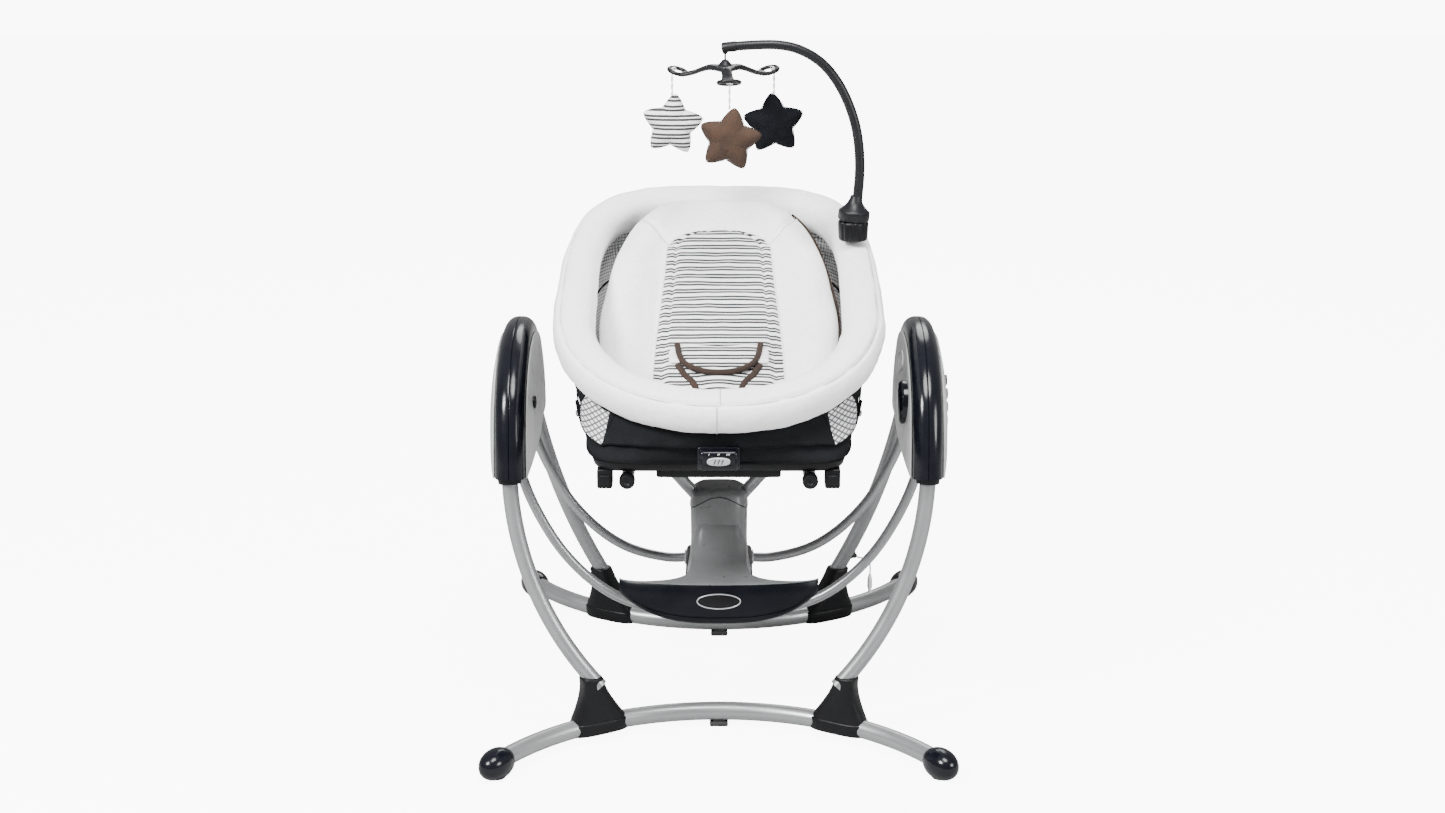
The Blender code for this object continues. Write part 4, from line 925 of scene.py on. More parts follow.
def pod():
    """The dark half-moon front, with a groove along its lower edge and a blank oval badge."""
    # (distance behind the plate's front edge, share of the way down) on the pod's face and its groove
    face = [(-0.0028, 0.20), (-0.0034, 0.38), (-0.0030, 0.56), (-0.0022, 0.70), (-0.0018, 0.745),
            (0.0004, 0.755), (0.0004, 0.775), (-0.0014, 0.785), (0.0004, 0.88)]
    top, back = PLATE_Z[0] - GAP, POD_LIP - GAP
    rings = []
    for k in range(65):
        a = radians(-80 + 160 * k / 64)
        x = POD_HALF_WIDTH * sin(a)
        front = PLATE_FRONT - PLATE_BULGE * cos(a)
        share = max(0.0, 1 - abs(sin(a)) ** 3.0)
        low = top - 0.012 - 0.048 * share
        depth = 0.006 + 0.012 * share
        tall = top - low
        profile = [(back, PLATE_Z[1] - 0.0012), (0.0006, PLATE_Z[1] - 0.0010), (-0.0010, PLATE_Z[1] - 0.0030)]
        profile += [(y, top - tall * down) for y, down in face]
        profile += [(0.0030 * share + 0.0008, top - tall * 0.96), (0.0080 * share + 0.0015, low),
                    (depth * 0.8, low + 0.001 * share), (depth, low + 0.006 * share), (depth, top),
                    (back, top)]
        rings.append([(x, front + y, z) for y, z in profile])
    stand_in("pod_cover", add_loft(bmesh.new(), rings), "pod", "glider", sharp=35)

    def badge_ring(size, proud):
        return [(x, front_edge(x) - 0.0034 - proud, 0.2135 + 0.0120 * size * sin(a))
                for a in circle(64) for x in [0.0335 * size * cos(a)]]

    bm = bmesh.new()
    add_sweep(bm, badge_ring(1.0, 0.0004), 0.0010, sides=12, cyclic=True)
    piece("badge_ring", bm, "trim", "glider")
    levels = ((0.97, -0.002), (0.97, 0.0003), (0.90, 0.0008), (0.4, 0.0011))
    piece("badge_face", add_loft(bmesh.new(), [badge_ring(*level) for level in levels]), "black", "glider")


def seat_cradle():
    bm = bmesh.new()
    for across in (-1, 1):
        route = smooth_points([(across * x, y, z) for x, y, z in STRUT], 8)
        add_sweep(bm, route, STRUT_RADIUS, sides=28)
    piece("cradle_struts", bm, "tube", "glider", ["seat_cradle"])
    bm = bmesh.new()
    add_box(bm, (-0.115, -0.140, DOCK_Z[0]), (0.115, 0.110, DOCK_Z[1]), 0.0065)
    for k in range(5):
        y = -0.110 + 0.045 * k
        add_box(bm, (-0.110, y, DOCK_Z[0] - 0.0030), (0.110, y + 0.004, DOCK_Z[0] + 0.004), 0.0012,
                segments=2)
    for across in (-1, 1):
        add_lathe(bm, (across * 0.0945, -0.012, 0.4150), (0, 0, 1),
                  [(0.0, 0.0128), (0.002, 0.0145), (0.012, 0.0170)])
    piece("cradle_dock", bm, "black", "glider")


# ---- tray, rocker and vibration unit --------------------------------------------------
def seat_tray():
    """The tray under the bassinet, its middle block, and the brackets at its front corners."""
    bottom, top = TRAY_Z
    levels = [(bottom, 0.172, -0.284, 0.270), (bottom, 0.180, -0.292, 0.278),
              (bottom + 0.0020, 0.1850, -0.2965, 0.284), (bottom + 0.0060, 0.1890, -0.3000, 0.288),
              (top - 0.0040, 0.1908, -0.3018, 0.2898), (top - 0.0012, 0.1908, -0.3018, 0.2898),
              (top, 0.1895, -0.3005, 0.2885)]
    bm = bmesh.new()
    add_loft(bm, [[(x, (front + back) / 2 + y, z)
                   for x, y in superellipse(half_x, (back - front) / 2, 14.0, 160)]
                  for z, half_x, front, back in levels])
    add_box(bm, (-0.093, -0.284, 0.4400), (0.093, -0.150, bottom + 0.003), 0.0040)
    stand_in("seat_tray", bm, "black", "seat")
    bm = bmesh.new()
    for across in (-1, 1):
        low, high = sorted((across * 0.158, across * 0.181))
        add_box(bm, (low, -0.294, 0.4260), (high, -0.262, bottom + 0.003), 0.0035)
        add_box(bm, (low + 0.004, -0.2975, 0.4330), (high - 0.004, -0.2900, 0.4480), 0.0015)
    piece("tray_brackets", bm, "black", "seat")


def rocker():
    half = smooth_points(ROCKER, 8)
    route = half + [Vector((-p.x, p.y, p.z)) for p in reversed(half)]
    stand_in("rocker_frame", add_sweep(bmesh.new(), route, ROCKER_RADIUS, sides=28), "tube", "seat")
    for side_name, across in SIDES:
        bm = bmesh.new()
        edge = ROCKER_CAP_RADIUS
        profile = [(0.0, edge), (0.0125, edge), (0.0160, edge - 0.0012), (0.0172, edge - 0.0036),
                   (0.0170, 0.0052), (0.0160, 0.0040), (0.0148, 0.0022), (0.0145, 0.0)]
        add_lathe(bm, (across * 0.136, -0.2887, 0.4400), (0, -1, 0), profile)
        stand_in(f"rocker_cap_{side_name}", bm, "black", "seat")


def vibration_unit():
    """The small housing on the bassinet's front, its slide switch, and three plain marks."""
    bm = bmesh.new()
    add_box(bm, (-0.029, -0.3497, 0.4710), (0.029, -0.3200, 0.5020), 0.0065, segments=6)
    add_box(bm, (-0.0315, -0.3345, 0.4690), (0.0315, -0.3255, 0.5045), 0.0040, segments=4)
    stand_in("vibration_unit", bm, "navy", "seat")
    bm = bmesh.new()
    slot = [(x, UNIT_FACE_Y, SWITCH_Z + z) for x, z in superellipse(0.0264, 0.0075, 3.0, 56)]
    add_sweep(bm, slot, 0.0006, sides=8, cyclic=True)
    piece("vibration_slot_edge", bm, "black", "seat")
    bm = bmesh.new()
    for k, x in enumerate((-0.014, 0.0, 0.014)):
        for j in range(k + 1):
            at = x + (j - k / 2) * 0.0020
            add_sweep(bm, [(at - 0.0006, UNIT_FACE_Y, 0.4965), (at + 0.0006, UNIT_FACE_Y, 0.4988)], 0.0004,
                      sides=6)
    piece("vibration_marks", bm, "mark", "seat")
    levels = ((-0.3505, 0.97), (-0.3512, 1.0), (-0.3528, 1.0), (-0.3536, 0.95), (-0.3540, 0.86))
    bm = bmesh.new()
    add_loft(bm, [[(x * size, y, SWITCH_Z + z * size) for x, z in superellipse(0.0170, 0.00625, 2.6, 56)]
                  for y, size in levels])
    stand_in("vibration_switch", bm, "trim", "vibration_slider")
    bm = bmesh.new()
    for x in (-0.0055, 0.0, 0.0055):
        add_sweep(bm, [(x - 0.0014, -0.35405, 0.4838), (x + 0.0014, -0.35405, 0.4907)], 0.0007, sides=8)
    piece("switch_grips", bm, "black", "vibration_slider")


# ---- bassinet -------------------------------------------------------------------------
def rim_outline(angle, inset):
    c, s = cos(angle), sin(angle)
    power = 2.15 if s < 0 else 4.0
    reach = (RIM_FRONT if s < 0 else RIM_REAR) - inset
    half = RIM_HALF_WIDTH - inset
    return half * signed_power(c, 2 / power), RIM_MIDDLE_Y + reach * signed_power(s, 2 / power)


def rim_frame(angle):
    """The rim's centre at an angle, with its outward and upward directions."""
    x, y = rim_outline(angle, RIM_HALF[0])
    outer_x, outer_y = rim_outline(angle, 0.0)
    out = Vector((outer_x - x, outer_y - y, RIM_SLOPE * (outer_y - y))).normalized()
    up = Vector((0.0, -RIM_SLOPE, 1.0)).normalized()
    return Vector((x, y, RIM_HEIGHT + RIM_SLOPE * y)), out, up


def rim_angles(count):
    """Angles spread evenly along the rim's outline, starting at its right side."""
    fine = [2 * pi * k / 1440 for k in range(1441)]
    places = [rim_frame(a)[0] for a in fine]
    steps = [(b - a).length for a, b in zip(places, places[1:])]
    return [fine[at] + (fine[at + 1] - fine[at]) * share for at, share in even_steps(steps, count, count)]


def shell_point(angle, share, proud=0.0):
    """A place on the bassinet's wall: share 0 is under the rim, share 1 is on the tray."""
    centre, out, up = rim_frame(angle)
    high = centre + out * 0.011 - up * (RIM_HALF[1] + 0.0015)
    c, s = cos(angle), sin(angle)
    low_x = BASE_HALF_WIDTH * signed_power(c, 2 / BASE_POWER)
    low_y = RIM_MIDDLE_Y + (BASE_FRONT if s < 0 else BASE_REAR) * signed_power(s, 2 / BASE_POWER)
    blend = max(share, 0.0) ** 1.25
    place = Vector((high.x + (low_x - high.x) * blend, high.y + (low_y - high.y) * blend,
                    high.z + (SHELL_BASE_Z - high.z) * share))
    away = Vector((place.x, place.y - RIM_MIDDLE_Y, 0.0)).normalized()
    return place + away * proud


def rim_place(angle, a, sunk=0.0):
    """A place on the rim's surface: angle runs round the bassinet, a runs round the tube."""
    centre, out, up = rim_frame(angle)
    c, s = cos(a), sin(a)
    return (centre + out * (signed_power(c, RIM_ROUND) * RIM_HALF[0] - c * sunk)
            + up * (signed_power(s, RIM_ROUND) * RIM_HALF[1] - s * sunk))


def rim_cushion():
    """The plush ring: a fat tube with a seam sewn round it, slightly uneven as stuffed fabric is."""
    seam = radians(48)
    angles = rim_angles(360)
    rings = []
    for angle in angles:
        _, out, up = rim_frame(angle)
        ring = []
        for a in circle(64):
            place = rim_place(angle, a)
            outward = (out * cos(a) + up * sin(a)).normalized()
            lumps = 0.0016 * noise.noise(place * 22.0) + 0.0007 * noise.noise(place * 70.0)
            groove = 0.0046 * exp(-((a - seam + pi) % (2 * pi) - pi) ** 2 / 0.0060)
            ring.append(place + outward * (lumps - groove))
        rings.append(ring)
    bm = bmesh.new()
    add_loft(bm, rings, loop=True)
    piece("rim_cushion_plush", bm, "plush", "seat", ["rim_cushion"], sharp=180)
    bm = bmesh.new()
    add_sweep(bm, [rim_place(angle, seam, 0.0034) for angle in angles], 0.0006, sides=6, cyclic=True)
    # the joint at the front's middle, above and below that seam
    for shift, first, last in ((0.0025, 50, 150), (-0.0025, -80, 46)):
        joint = [rim_place(-pi / 2, radians(turn), -0.0004) + Vector((shift, 0, 0))
                 for turn in range(first, last, 3)]
        add_sweep(bm, joint, 0.0007, sides=6)
    piece("rim_seam_thread", bm, "thread", "seat")
    piping = [centre + out * 0.0150 - up * (RIM_HALF[1] - 0.0005)
              for centre, out, up in map(rim_frame, angles)]
    piece("rim_piping", add_sweep(bmesh.new(), piping, 0.0026, sides=14, cyclic=True), "piping", "seat")


def flat_area(angles, low, high):
    """The area of a stretch of wall, for the cloth that it was cut from."""
    total = 0.0
    rows = 12
    for a, b in zip(angles, angles[1:]):
        for j in range(rows):
            s, t = low + (high - low) * j / rows, low + (high - low) * (j + 1) / rows
            p, q, r = shell_point(a, s), shell_point(b, s), shell_point(a, t)
            total += (q - p).cross(r - p).length
    return total


def bassinet():
    """The charcoal tub's wall and floor, with its two lines of piping."""
    angles = rim_angles(240)

    def wall(share, deeper):
        bulge = sin(pi * share)
        return [shell_point(a, share, 0.0016 * noise.noise(shell_point(a, share) * 13.0) * bulge
                            - 0.0035 * bulge ** 2 - deeper) for a in angles]

    shares = [1 - k / 28 for k in range(29)]
    inner = [wall(share, 0.0035) for share in shares]
    floor = [Vector((p.x, p.y, SHELL_BASE_Z + 0.005)) for p in inner[0]]
    bm = bmesh.new()
    add_loft(bm, [wall(share, 0.0) for share in shares] + list(reversed(inner[1:])) + [floor])
    piece("bassinet_fabric", bm, "charcoal", "seat", ["bassinet_shell"], sharp=60)
    for name, share, proud, radius in (("base_piping", 0.985, 0.0006, 0.0022),
                                       ("mid_piping", 0.47, -0.002, 0.0012)):
        bm = bmesh.new()
        add_sweep(bm, [shell_point(a, share, proud) for a in angles], radius, sides=10, cyclic=True)
        piece(name, bm, "piping", "seat")


def arc(first, last, count):
    return [radians(first + (last - first) * k / count) for k in range(count + 1)]


def front_flap():
    """The cloth that hangs over the front from the rim, with its curved and bound hem."""
    first, last, rows = -131.5, -48.5, 20
    middle = (first + last) / 2
    angles = arc(first, last, 96)

    def lean(angle):
        return (degrees(angle) - middle) / (last - middle)

    def hem_share(angle):
        return 0.42 + 0.28 * abs(lean(angle)) ** 2.2

    def fold(angle, down):
        return (0.0022 * down * (0.6 + 0.4 * sin(lean(angle) * 9.0 + 1.0))
                + 0.0010 * sin(lean(angle) * 23.0) * down)

    def place(i, j):
        share, proud = hem_share(angles[i]) * j / rows, 0.0022 + fold(angles[i], j / rows)
        return shell_point(angles[i], share, proud), shell_point(angles[i], share, proud - 0.0016)

    bm = bmesh.new()
    add_slab(bm, *grid_of(len(angles), rows + 1, place))
    flap = piece("front_flap", bm, "charcoal", "seat", sharp=60)
    bm = bmesh.new()
    add_sweep(bm, [shell_point(a, hem_share(a), 0.0018 + fold(a, 1.0)) for a in angles], 0.0017, sides=10)
    binding = piece("front_flap_hem", bm, "piping", "seat")
    min(prod(FLAP_CLOTH), flat_area(angles, 0.0, 0.48))


def mesh_windows():
    """The white mesh panels at the front corners, in their dark frames."""
    # the (angle, share) of each corner
    corners = ((-146.0, 0.03), (-129.0, 0.02), (-131.8, 0.72), (-162.0, 0.72))
    rear_top, front_top, front_low, rear_low = [Vector(corner) for corner in corners]
    steps = 20
    for side_name, across in SIDES:
        def at(u, v, proud):
            angle, share = rear_top.lerp(front_top, u).lerp(rear_low.lerp(front_low, u), v)
            point = shell_point(radians(angle), share, proud)
            return Vector((-across * point.x, point.y, point.z))

        top, low = grid_of(steps + 1, steps + 1,
                           lambda i, j: [at(i / steps, j / steps, proud) for proud in (0.0016, -0.0010)])
        window = piece(f"mesh_window_{side_name}", add_slab(bmesh.new(), top, low), "window", "seat")
        edge = [(i / steps, 0.0) for i in range(steps)] + [(1.0, j / steps) for j in range(steps)]
        edge += [(1 - i / steps, 1.0) for i in range(steps)] + [(0.0, 1 - j / steps) for j in range(steps)]
        bm = bmesh.new()
        add_sweep(bm, [at(u, v, 0.0016) for u, v in edge], 0.0013, sides=10, cyclic=True)
        binding = piece(f"mesh_window_binding_{side_name}", bm, "piping", "seat")


def side_tabs():
    """Folded tabs behind the mesh corners, each with a dark eyelet, and the rear corner straps."""
    for side_name, across in SIDES:
        for place_name, angle, share, size in (("front", -166.0, 0.62, 0.012), ("rear", 158.0, 0.55, 0.011)):
            def at(u, v, proud):
                point = shell_point(radians(angle + u * 5.5), share + v * 0.11, proud)
                return Vector((-across * point.x, point.y, point.z))
            outline = superellipse(1.0, 1.0, 3.5, 40)
            bm = bmesh.new()
            add_loft(bm, [[at(u * s, v * s, proud) for u, v in outline]
                          for s, proud in ((1.0, -0.002), (1.0, 0.0022), (0.93, 0.0034), (0.5, 0.0037))])
            piece(f"tab_{place_name}_{side_name}", bm, "piping", "seat")
            centre = at(0, 0, 0.0036)
            outward = (at(0, 0, 0.01) - at(0, 0, 0.0)).normalized()
            bm = bmesh.new()
            ring = [(0.0, 0.0026), (0.0012, 0.0030), (0.0016, 0.0040), (0.0012, 0.0050), (0.0, 0.0054),
                    (0.0, 0.0026)]
            add_lathe(bm, centre, outward, ring, sides=28)
            piece(f"eyelet_{place_name}_{side_name}", bm, "steel", "seat")


def mesh_liner():
    """The white mesh inside the tub, between the pad and the rim, with a dark band round it: painted shade
    under the rim.
    """
    angles = rim_angles(200)
    shares = [0.80 * j / 16 - 0.02 for j in range(17)]
    outer, inner = ([[shell_point(a, share, proud) for a in angles] for share in shares]
                    for proud in (-0.0110, -0.0125))
    bm = bmesh.new()
    add_loft(bm, outer + inner[::-1], loop=True)
    liner = piece("mesh_liner", bm, "liner", "seat", sharp=60)
    # painted shade: a dark tube round the liner where the rim's shade falls below its inner edge
    bm = bmesh.new()
    add_sweep(bm, [shell_point(a, 0.34, -0.0128) for a in angles], 0.0016, sides=10, cyclic=True)
    trim = piece("liner_painted_shade_band", bm, "piping", "seat")
    around = angles + [angles[0] + 2 * pi]
    girth = round(sum((shell_point(b, 0.4) - shell_point(a, 0.4)).length
                      for a, b in zip(around, around[1:])), 2)
    min(flat_area(around, 0.02, 0.82), girth * LINER_HEIGHT)


# ---- the insert -----------------------------------------------------------------------
def pad_line(count):
    """Points along the pad's middle, from its top edge to the seat's front: (place, half width, normal)."""
    y_seat, z_seat = PAD_SEAT
    corners = [Vector((half, y, PAD_SEAT_Z.get(y, z_seat + PAD_SLOPE * (y - y_seat))))
               for y, half in PAD_PATH]
    line = smooth_points(corners, 10)
    last = len(line) - 1
    out = []
    for at, share in even_steps([(b.yz - a.yz).length for a, b in zip(line, line[1:])], count, count + 1):
        place = line[at].lerp(line[at + 1], share)
        tangent = line[min(at + 2, last)] - line[max(at - 1, 0)]
        normal = Vector((0.0, -tangent.z, tangent.y)).normalized()
        out.append((Vector((0.0, place.y, place.z)), place.x, normal if normal.z >= 0 else -normal))
    return out


PAD_ROWS, PAD_COLUMNS = 88, 96
PANEL_TOP, PANEL_REACH = 0.145, 0.93
SEAM_FIRST, SEAM_LAST = 0.085, 0.200
STRAP_LOW = -0.100


def panel_half(share):
    """Half the width of the striped panel at a share of the way down the pad."""
    if share < PANEL_TOP:
        return 0.0
    dome = min(1.0, (share - PANEL_TOP) / 0.085)
    return (0.085 + 0.019 * ease((share - PANEL_TOP) / 0.60)) * (1 - (1 - dome) ** 2.4) ** (1 / 2.4)


def diagonal_seam(share):
    """How far out the seam from the striped panel's corner is, as a share of the pad's half width."""
    return 1.0 - 4.3 * (share - 0.082)


def pad_height(x, share, half):
    """The pad's height over its flat line: bolsters, quilting and seams."""
    away = abs(x) / half
    bolster = 0.024 * ease((away - 0.50) / 0.34) * (0.35 + 0.65 * ease(share / 0.3))
    crown = 0.002 * (1 - away ** 2)
    scallop = 0.0015 * sin(share * pi * 9) * ease((away - 0.72) / 0.2)
    valley = 0.0050 * exp(-((away - 0.52) / 0.035) ** 2) * ease((share - 0.3) / 0.1)
    place = Vector((x, share * 0.6, 0.0))
    lumps = 0.0022 * noise.noise(place * 30.0) + 0.0010 * noise.noise(place * 80.0)
    return crown + bolster + scallop - valley + lumps


def over_pad(pad, place, x, normal):
    """The pad's height over its flat line, measured on its mesh."""
    hit, found, _, _ = pad.ray_cast(place + Vector((x, 0, 0)) + normal * 0.08, -normal)
    return (found - place).dot(normal) if hit else 0.0


def sew_diagonals(pad, line):
    """Press the two diagonal seams into the finished pad."""
    for vert in pad.data.vertices:
        k = min(range(len(line)), key=lambda i: abs(line[i][0].y - vert.co.y))
        place, half, normal = line[k]
        share = k / PAD_ROWS
        if 0.06 < share < 0.24 and (vert.co - place).dot(normal) > 0:
            off = (abs(vert.co.x) / half - diagonal_seam(share)) * half / 2.2
            vert.co -= normal * (0.0050 * exp(-(off / 0.0035) ** 2) * ease((0.23 - share) / 0.03))


def insert():
    """The white plush pad that fills the tub, as a quilted closed form."""
    line = pad_line(PAD_ROWS)

    def place_on(k, i):
        place, half, normal = line[k]
        share = k / PAD_ROWS
        widen = half * (1.0 + 0.006 * sin(share * pi * 9))
        end = min(1.0, sqrt(max(0.0, min(share, 1 - share)) / 0.035))
        x = widen * sin((2 * i / PAD_COLUMNS - 1) * pi / 2)
        edge = sqrt(max(0.0, 1 - abs(x / widen) ** 9)) * end
        middle = place + Vector((x, 0, 0))
        return (middle + normal * (pad_height(x, share, widen) * edge - 0.004 * (1 - edge)),
                middle - normal * (0.010 + 0.011 * edge))

    grids = grid_of(PAD_ROWS + 1, PAD_COLUMNS + 1, place_on)
    pad = make_object("insert_plush", add_slab(bmesh.new(), *grids))
    inflate(pad, pressure=1.2, cap=0.003, frames=12, voxel=0.0048)
    sew_diagonals(pad, line)
    bpy.context.view_layer.update()
    dress(pad, "plush", "seat", ["insert_pad"], sharp=180)
    bm = bmesh.new()
    for across in (-1, 1):
        sewn = []
        for k in range(41):
            share = SEAM_FIRST + (SEAM_LAST - SEAM_FIRST) * k / 40
            row = int(share * PAD_ROWS)
            part = share * PAD_ROWS - row
            (place, half, normal), (next_place, next_half, next_normal) = line[row], line[row + 1]
            place, normal = place.lerp(next_place, part), normal.lerp(next_normal, part)
            x = across * min(diagonal_seam(share), 0.97) * (half + (next_half - half) * part)
            sewn.append(place + Vector((x, 0, 0)) + normal * (over_pad(pad, place, x, normal) + 0.0003))
        add_sweep(bm, sewn, 0.0007, sides=6)
    piece("insert_seams", bm, "thread", "seat")
    bm = bmesh.new()
    bound = [place + Vector((half * 1.004, 0, 0)) - normal * 0.004 for place, half, normal in line[6:64]]
    add_sweep(bm, bound, 0.0026, sides=10, flat=1.6)
    piece("insert_binding", bm, "binding", "seat")
    return line, pad


def striped_panel(line, pad):
    """The striped jersey sewn on the pad's middle, quilted along both sides."""
    columns = 44
    rows = [k for k in range(len(line)) if panel_half(k / PAD_ROWS) > 0.002 and k / PAD_ROWS <= PANEL_REACH]

    def place_on(j, i):
        place, _, normal = line[rows[j]]
        reach = panel_half(rows[j] / PAD_ROWS)
        x = reach * (2 * i / columns - 1)
        quilt = 0.0040 * exp(-((abs(x) - reach + 0.016) / 0.0030) ** 2)
        puff = 0.0045 * (1 - (abs(x) / reach) ** 8)
        base = over_pad(pad, place, x, normal)
        middle = place + Vector((x, 0, 0))
        return middle + normal * (base + 0.0008 + puff - quilt), middle + normal * (base - 0.004)

    tops, bottoms = grid_of(len(rows), columns + 1, place_on)
    bm = bmesh.new()
    add_slab(bm, tops, bottoms)
    piece("striped_panel", bm, "striped", "seat", sharp=60)
    bm = bmesh.new()
    add_sweep(bm, [row[0] for row in reversed(tops)] + [row[-1] for row in tops], 0.0015, sides=8)
    piece("striped_panel_seam", bm, "ribbon", "seat")


def on_slope(x, along, height=0.0):
    """A place on the pad's reclined line: along runs up it from the crotch pad's middle."""
    lift = Vector((0.0, -SLOPE_DIRECTION.z, SLOPE_DIRECTION.y))
    origin = Vector((0.0, -0.035, PAD_SEAT[1] + PAD_SLOPE * (-0.035 - PAD_SEAT[0])))
    return origin + Vector((x, 0, 0)) + SLOPE_DIRECTION * along + lift * height


def on_seat(x, along, height):
    """Like on_slope, but bent level where the pad's seat begins."""
    bend = -0.078
    place = on_slope(x, max(along, bend), height)
    if along < bend:
        place.y -= (bend - along)
    return place


def crotch_half(along):
    """Half the width of the strap between the legs: narrow in the middle, wider at the top."""
    outline = [(-0.100, 0.0345), (-0.078, 0.0345), (-0.067, 0.0360), (-0.055, 0.0410), (-0.040, 0.0540),
               (-0.020, 0.0645)]
    for (a1, w1), (a2, w2) in zip(outline, outline[1:]):
        if along <= a2:
            return w1 + (w2 - w1) * (along - a1) / (a2 - a1)
    return outline[-1][1]


def flap_edge():
    """The crotch pad's curved lower edge, from its left tip to its right one, as (x, along) pairs."""
    right = [(0.0, -0.0407), (0.020, -0.0388), (0.039, -0.0321), (0.055, -0.0194), (0.0620, -0.0035),
             (0.0655, 0.0179)]
    half = smooth_points([(x, v, 0.0) for x, v in right], 6)
    return [(-p.x, p.y) for p in reversed(half[1:])] + [(p.x, p.y) for p in half]


def harness():
    """The crotch pad with its brown bindings, its two legs, and the white loops at its sides."""
    edge = flap_edge()

    def on_flap(i, j):
        x, low_edge = edge[i]
        high_edge = 0.0185 - 0.0015 * cos(x * 70.0)
        v = low_edge + (high_edge - low_edge) * j / 24
        round_off = sqrt(max(0.0, 1 - abs(2 * j / 24 - 1) ** 6))
        sides = sqrt(max(0.0, 1 - abs(x / 0.0656) ** 8))
        lift = 0.0120 + 0.0045 * round_off * sides + 0.0006 * noise.noise(Vector((x * 60, v * 60, 0)))
        return on_slope(x, v, lift), on_slope(x, v, 0.0090)

    def on_strap(k, i):
        along = STRAP_LOW + 0.066 * k / 32
        half = crotch_half(along)
        x = half * (2 * i / 32 - 1)
        bulge = 0.0085 * (1 - (x / half) ** 2) * ease((along + 0.104) / 0.02)
        return on_seat(x, along, 0.0060 + bulge), on_seat(x, along, 0.0010)

    bm = bmesh.new()
    add_slab(bm, *grid_of(len(edge), 25, on_flap))
    piece("crotch_flap", bm, "striped", "seat", ["harness"], sharp=60)
    bm = bmesh.new()
    add_slab(bm, *grid_of(33, 33, on_strap))
    piece("crotch_pad", bm, "striped", "seat", sharp=60)
    bm = bmesh.new()
    add_sweep(bm, [on_slope(x, v, 0.0156) for x, v in edge], 0.0048, sides=16)
    for across in (-1, 1):
        places = [STRAP_LOW + 0.080 * k / 28 for k in range(29)]
        leg = [on_seat(across * crotch_half(v), v, 0.0095) for v in places]
        add_sweep(bm, leg, 0.0056, sides=16, flat=0.8)
    piece("harness_binding", bm, "binding", "seat")
    for side_name, across in SIDES:
        def on_loop(x, y, start, lift):
            return on_slope(across * (0.0690 + 0.10 * y) + x, start + y, lift)

        levels = ((0.90, 0.005), (1.0, 0.007), (1.0, 0.0115), (0.95, 0.0140), (0.80, 0.0150))
        bm = bmesh.new()
        add_loft(bm, [[on_loop(x, y, -0.0050, lift)
                       for x, y in superellipse(0.0095 * size, 0.0145 * size, 3.0, 48)]
                      for size, lift in levels])
        piece(f"side_loop_{side_name}", bm, "ribbon", "seat")
        bm = bmesh.new()
        end = [on_loop(x, y, -0.0160, 0.0146) for x, y in superellipse(0.0085, 0.0026, 2.4, 40)]
        add_sweep(bm, end, 0.0010, sides=8, cyclic=True)
        piece(f"buckle_{side_name}", bm, "white", "seat")


# ---- mobile ---------------------------------------------------------------------------
def mobile_clamp():
    """The scalloped clamp on the rim."""
    bm = bmesh.new()
    profile = [(0.0, 0.0205), (0.0012, 0.0225), (0.0040, 0.0238), (0.0280, 0.0250), (0.0310, 0.0243),
               (0.0324, 0.0225)]
    add_lathe(bm, (CLAMP_X, CLAMP_Y, CLAMP_BOTTOM), (0, 0, 1), profile, sides=144,
              wave=lambda a: 1 - 0.060 * max(0.0, cos(8 * a)) ** 3)
    stand_in("mobile_clamp", bm, "black", "seat", sharp=50)


def mobile_arm():
    bm = bmesh.new()
    collar = [(0.0, 0.0225), (0.0008, 0.0248), (0.0030, 0.0255), (0.0120, 0.0255), (0.0126, 0.0246),
              (0.0134, 0.0246), (0.0140, 0.0254), (0.0155, 0.0248), (0.0180, 0.0215), (0.0230, 0.0165),
              (0.0280, 0.0128), (0.0340, 0.0100), (0.0400, 0.0086)]
    add_lathe(bm, (CLAMP_X, CLAMP_Y, COLLAR_BOTTOM), (0.10, 0, 1), collar, sides=64)
    route = smooth_points([(x, CLAMP_Y, z) for x, z in ARM_ROUTE], 8)
    add_sweep(bm, route, lambda t: 0.0080 - 0.0006 * t, sides=28)
    stand_in("mobile_arm", bm, "arm", "mobile_mast")
    tip, before = route[-1], route[-5]
    length = (tip - before).length
    bm = bmesh.new()
    add_lathe(bm, before, tip - before, [(0.0, 0.0078), (0.0004, 0.0084), (length - 0.001, 0.0079),
                                         (length + 0.0010, 0.0070), (length + 0.0018, 0.0050),
                                         (length + 0.0020, 0.0)], sides=40)
    add_lathe(bm, (tip.x + 0.004, tip.y, tip.z - 0.004), (0, 0, -1),
              [(0.0, 0.0045), (0.0045, 0.0040), (0.0060, 0.0028)], sides=24)
    piece("arm_end_piece", bm, "arm", "mobile_mast")


def hub_arm(angle):
    direction = Vector((cos(angle), sin(angle), 0.0))
    return direction, Vector((-direction.y, direction.x, 0.0))


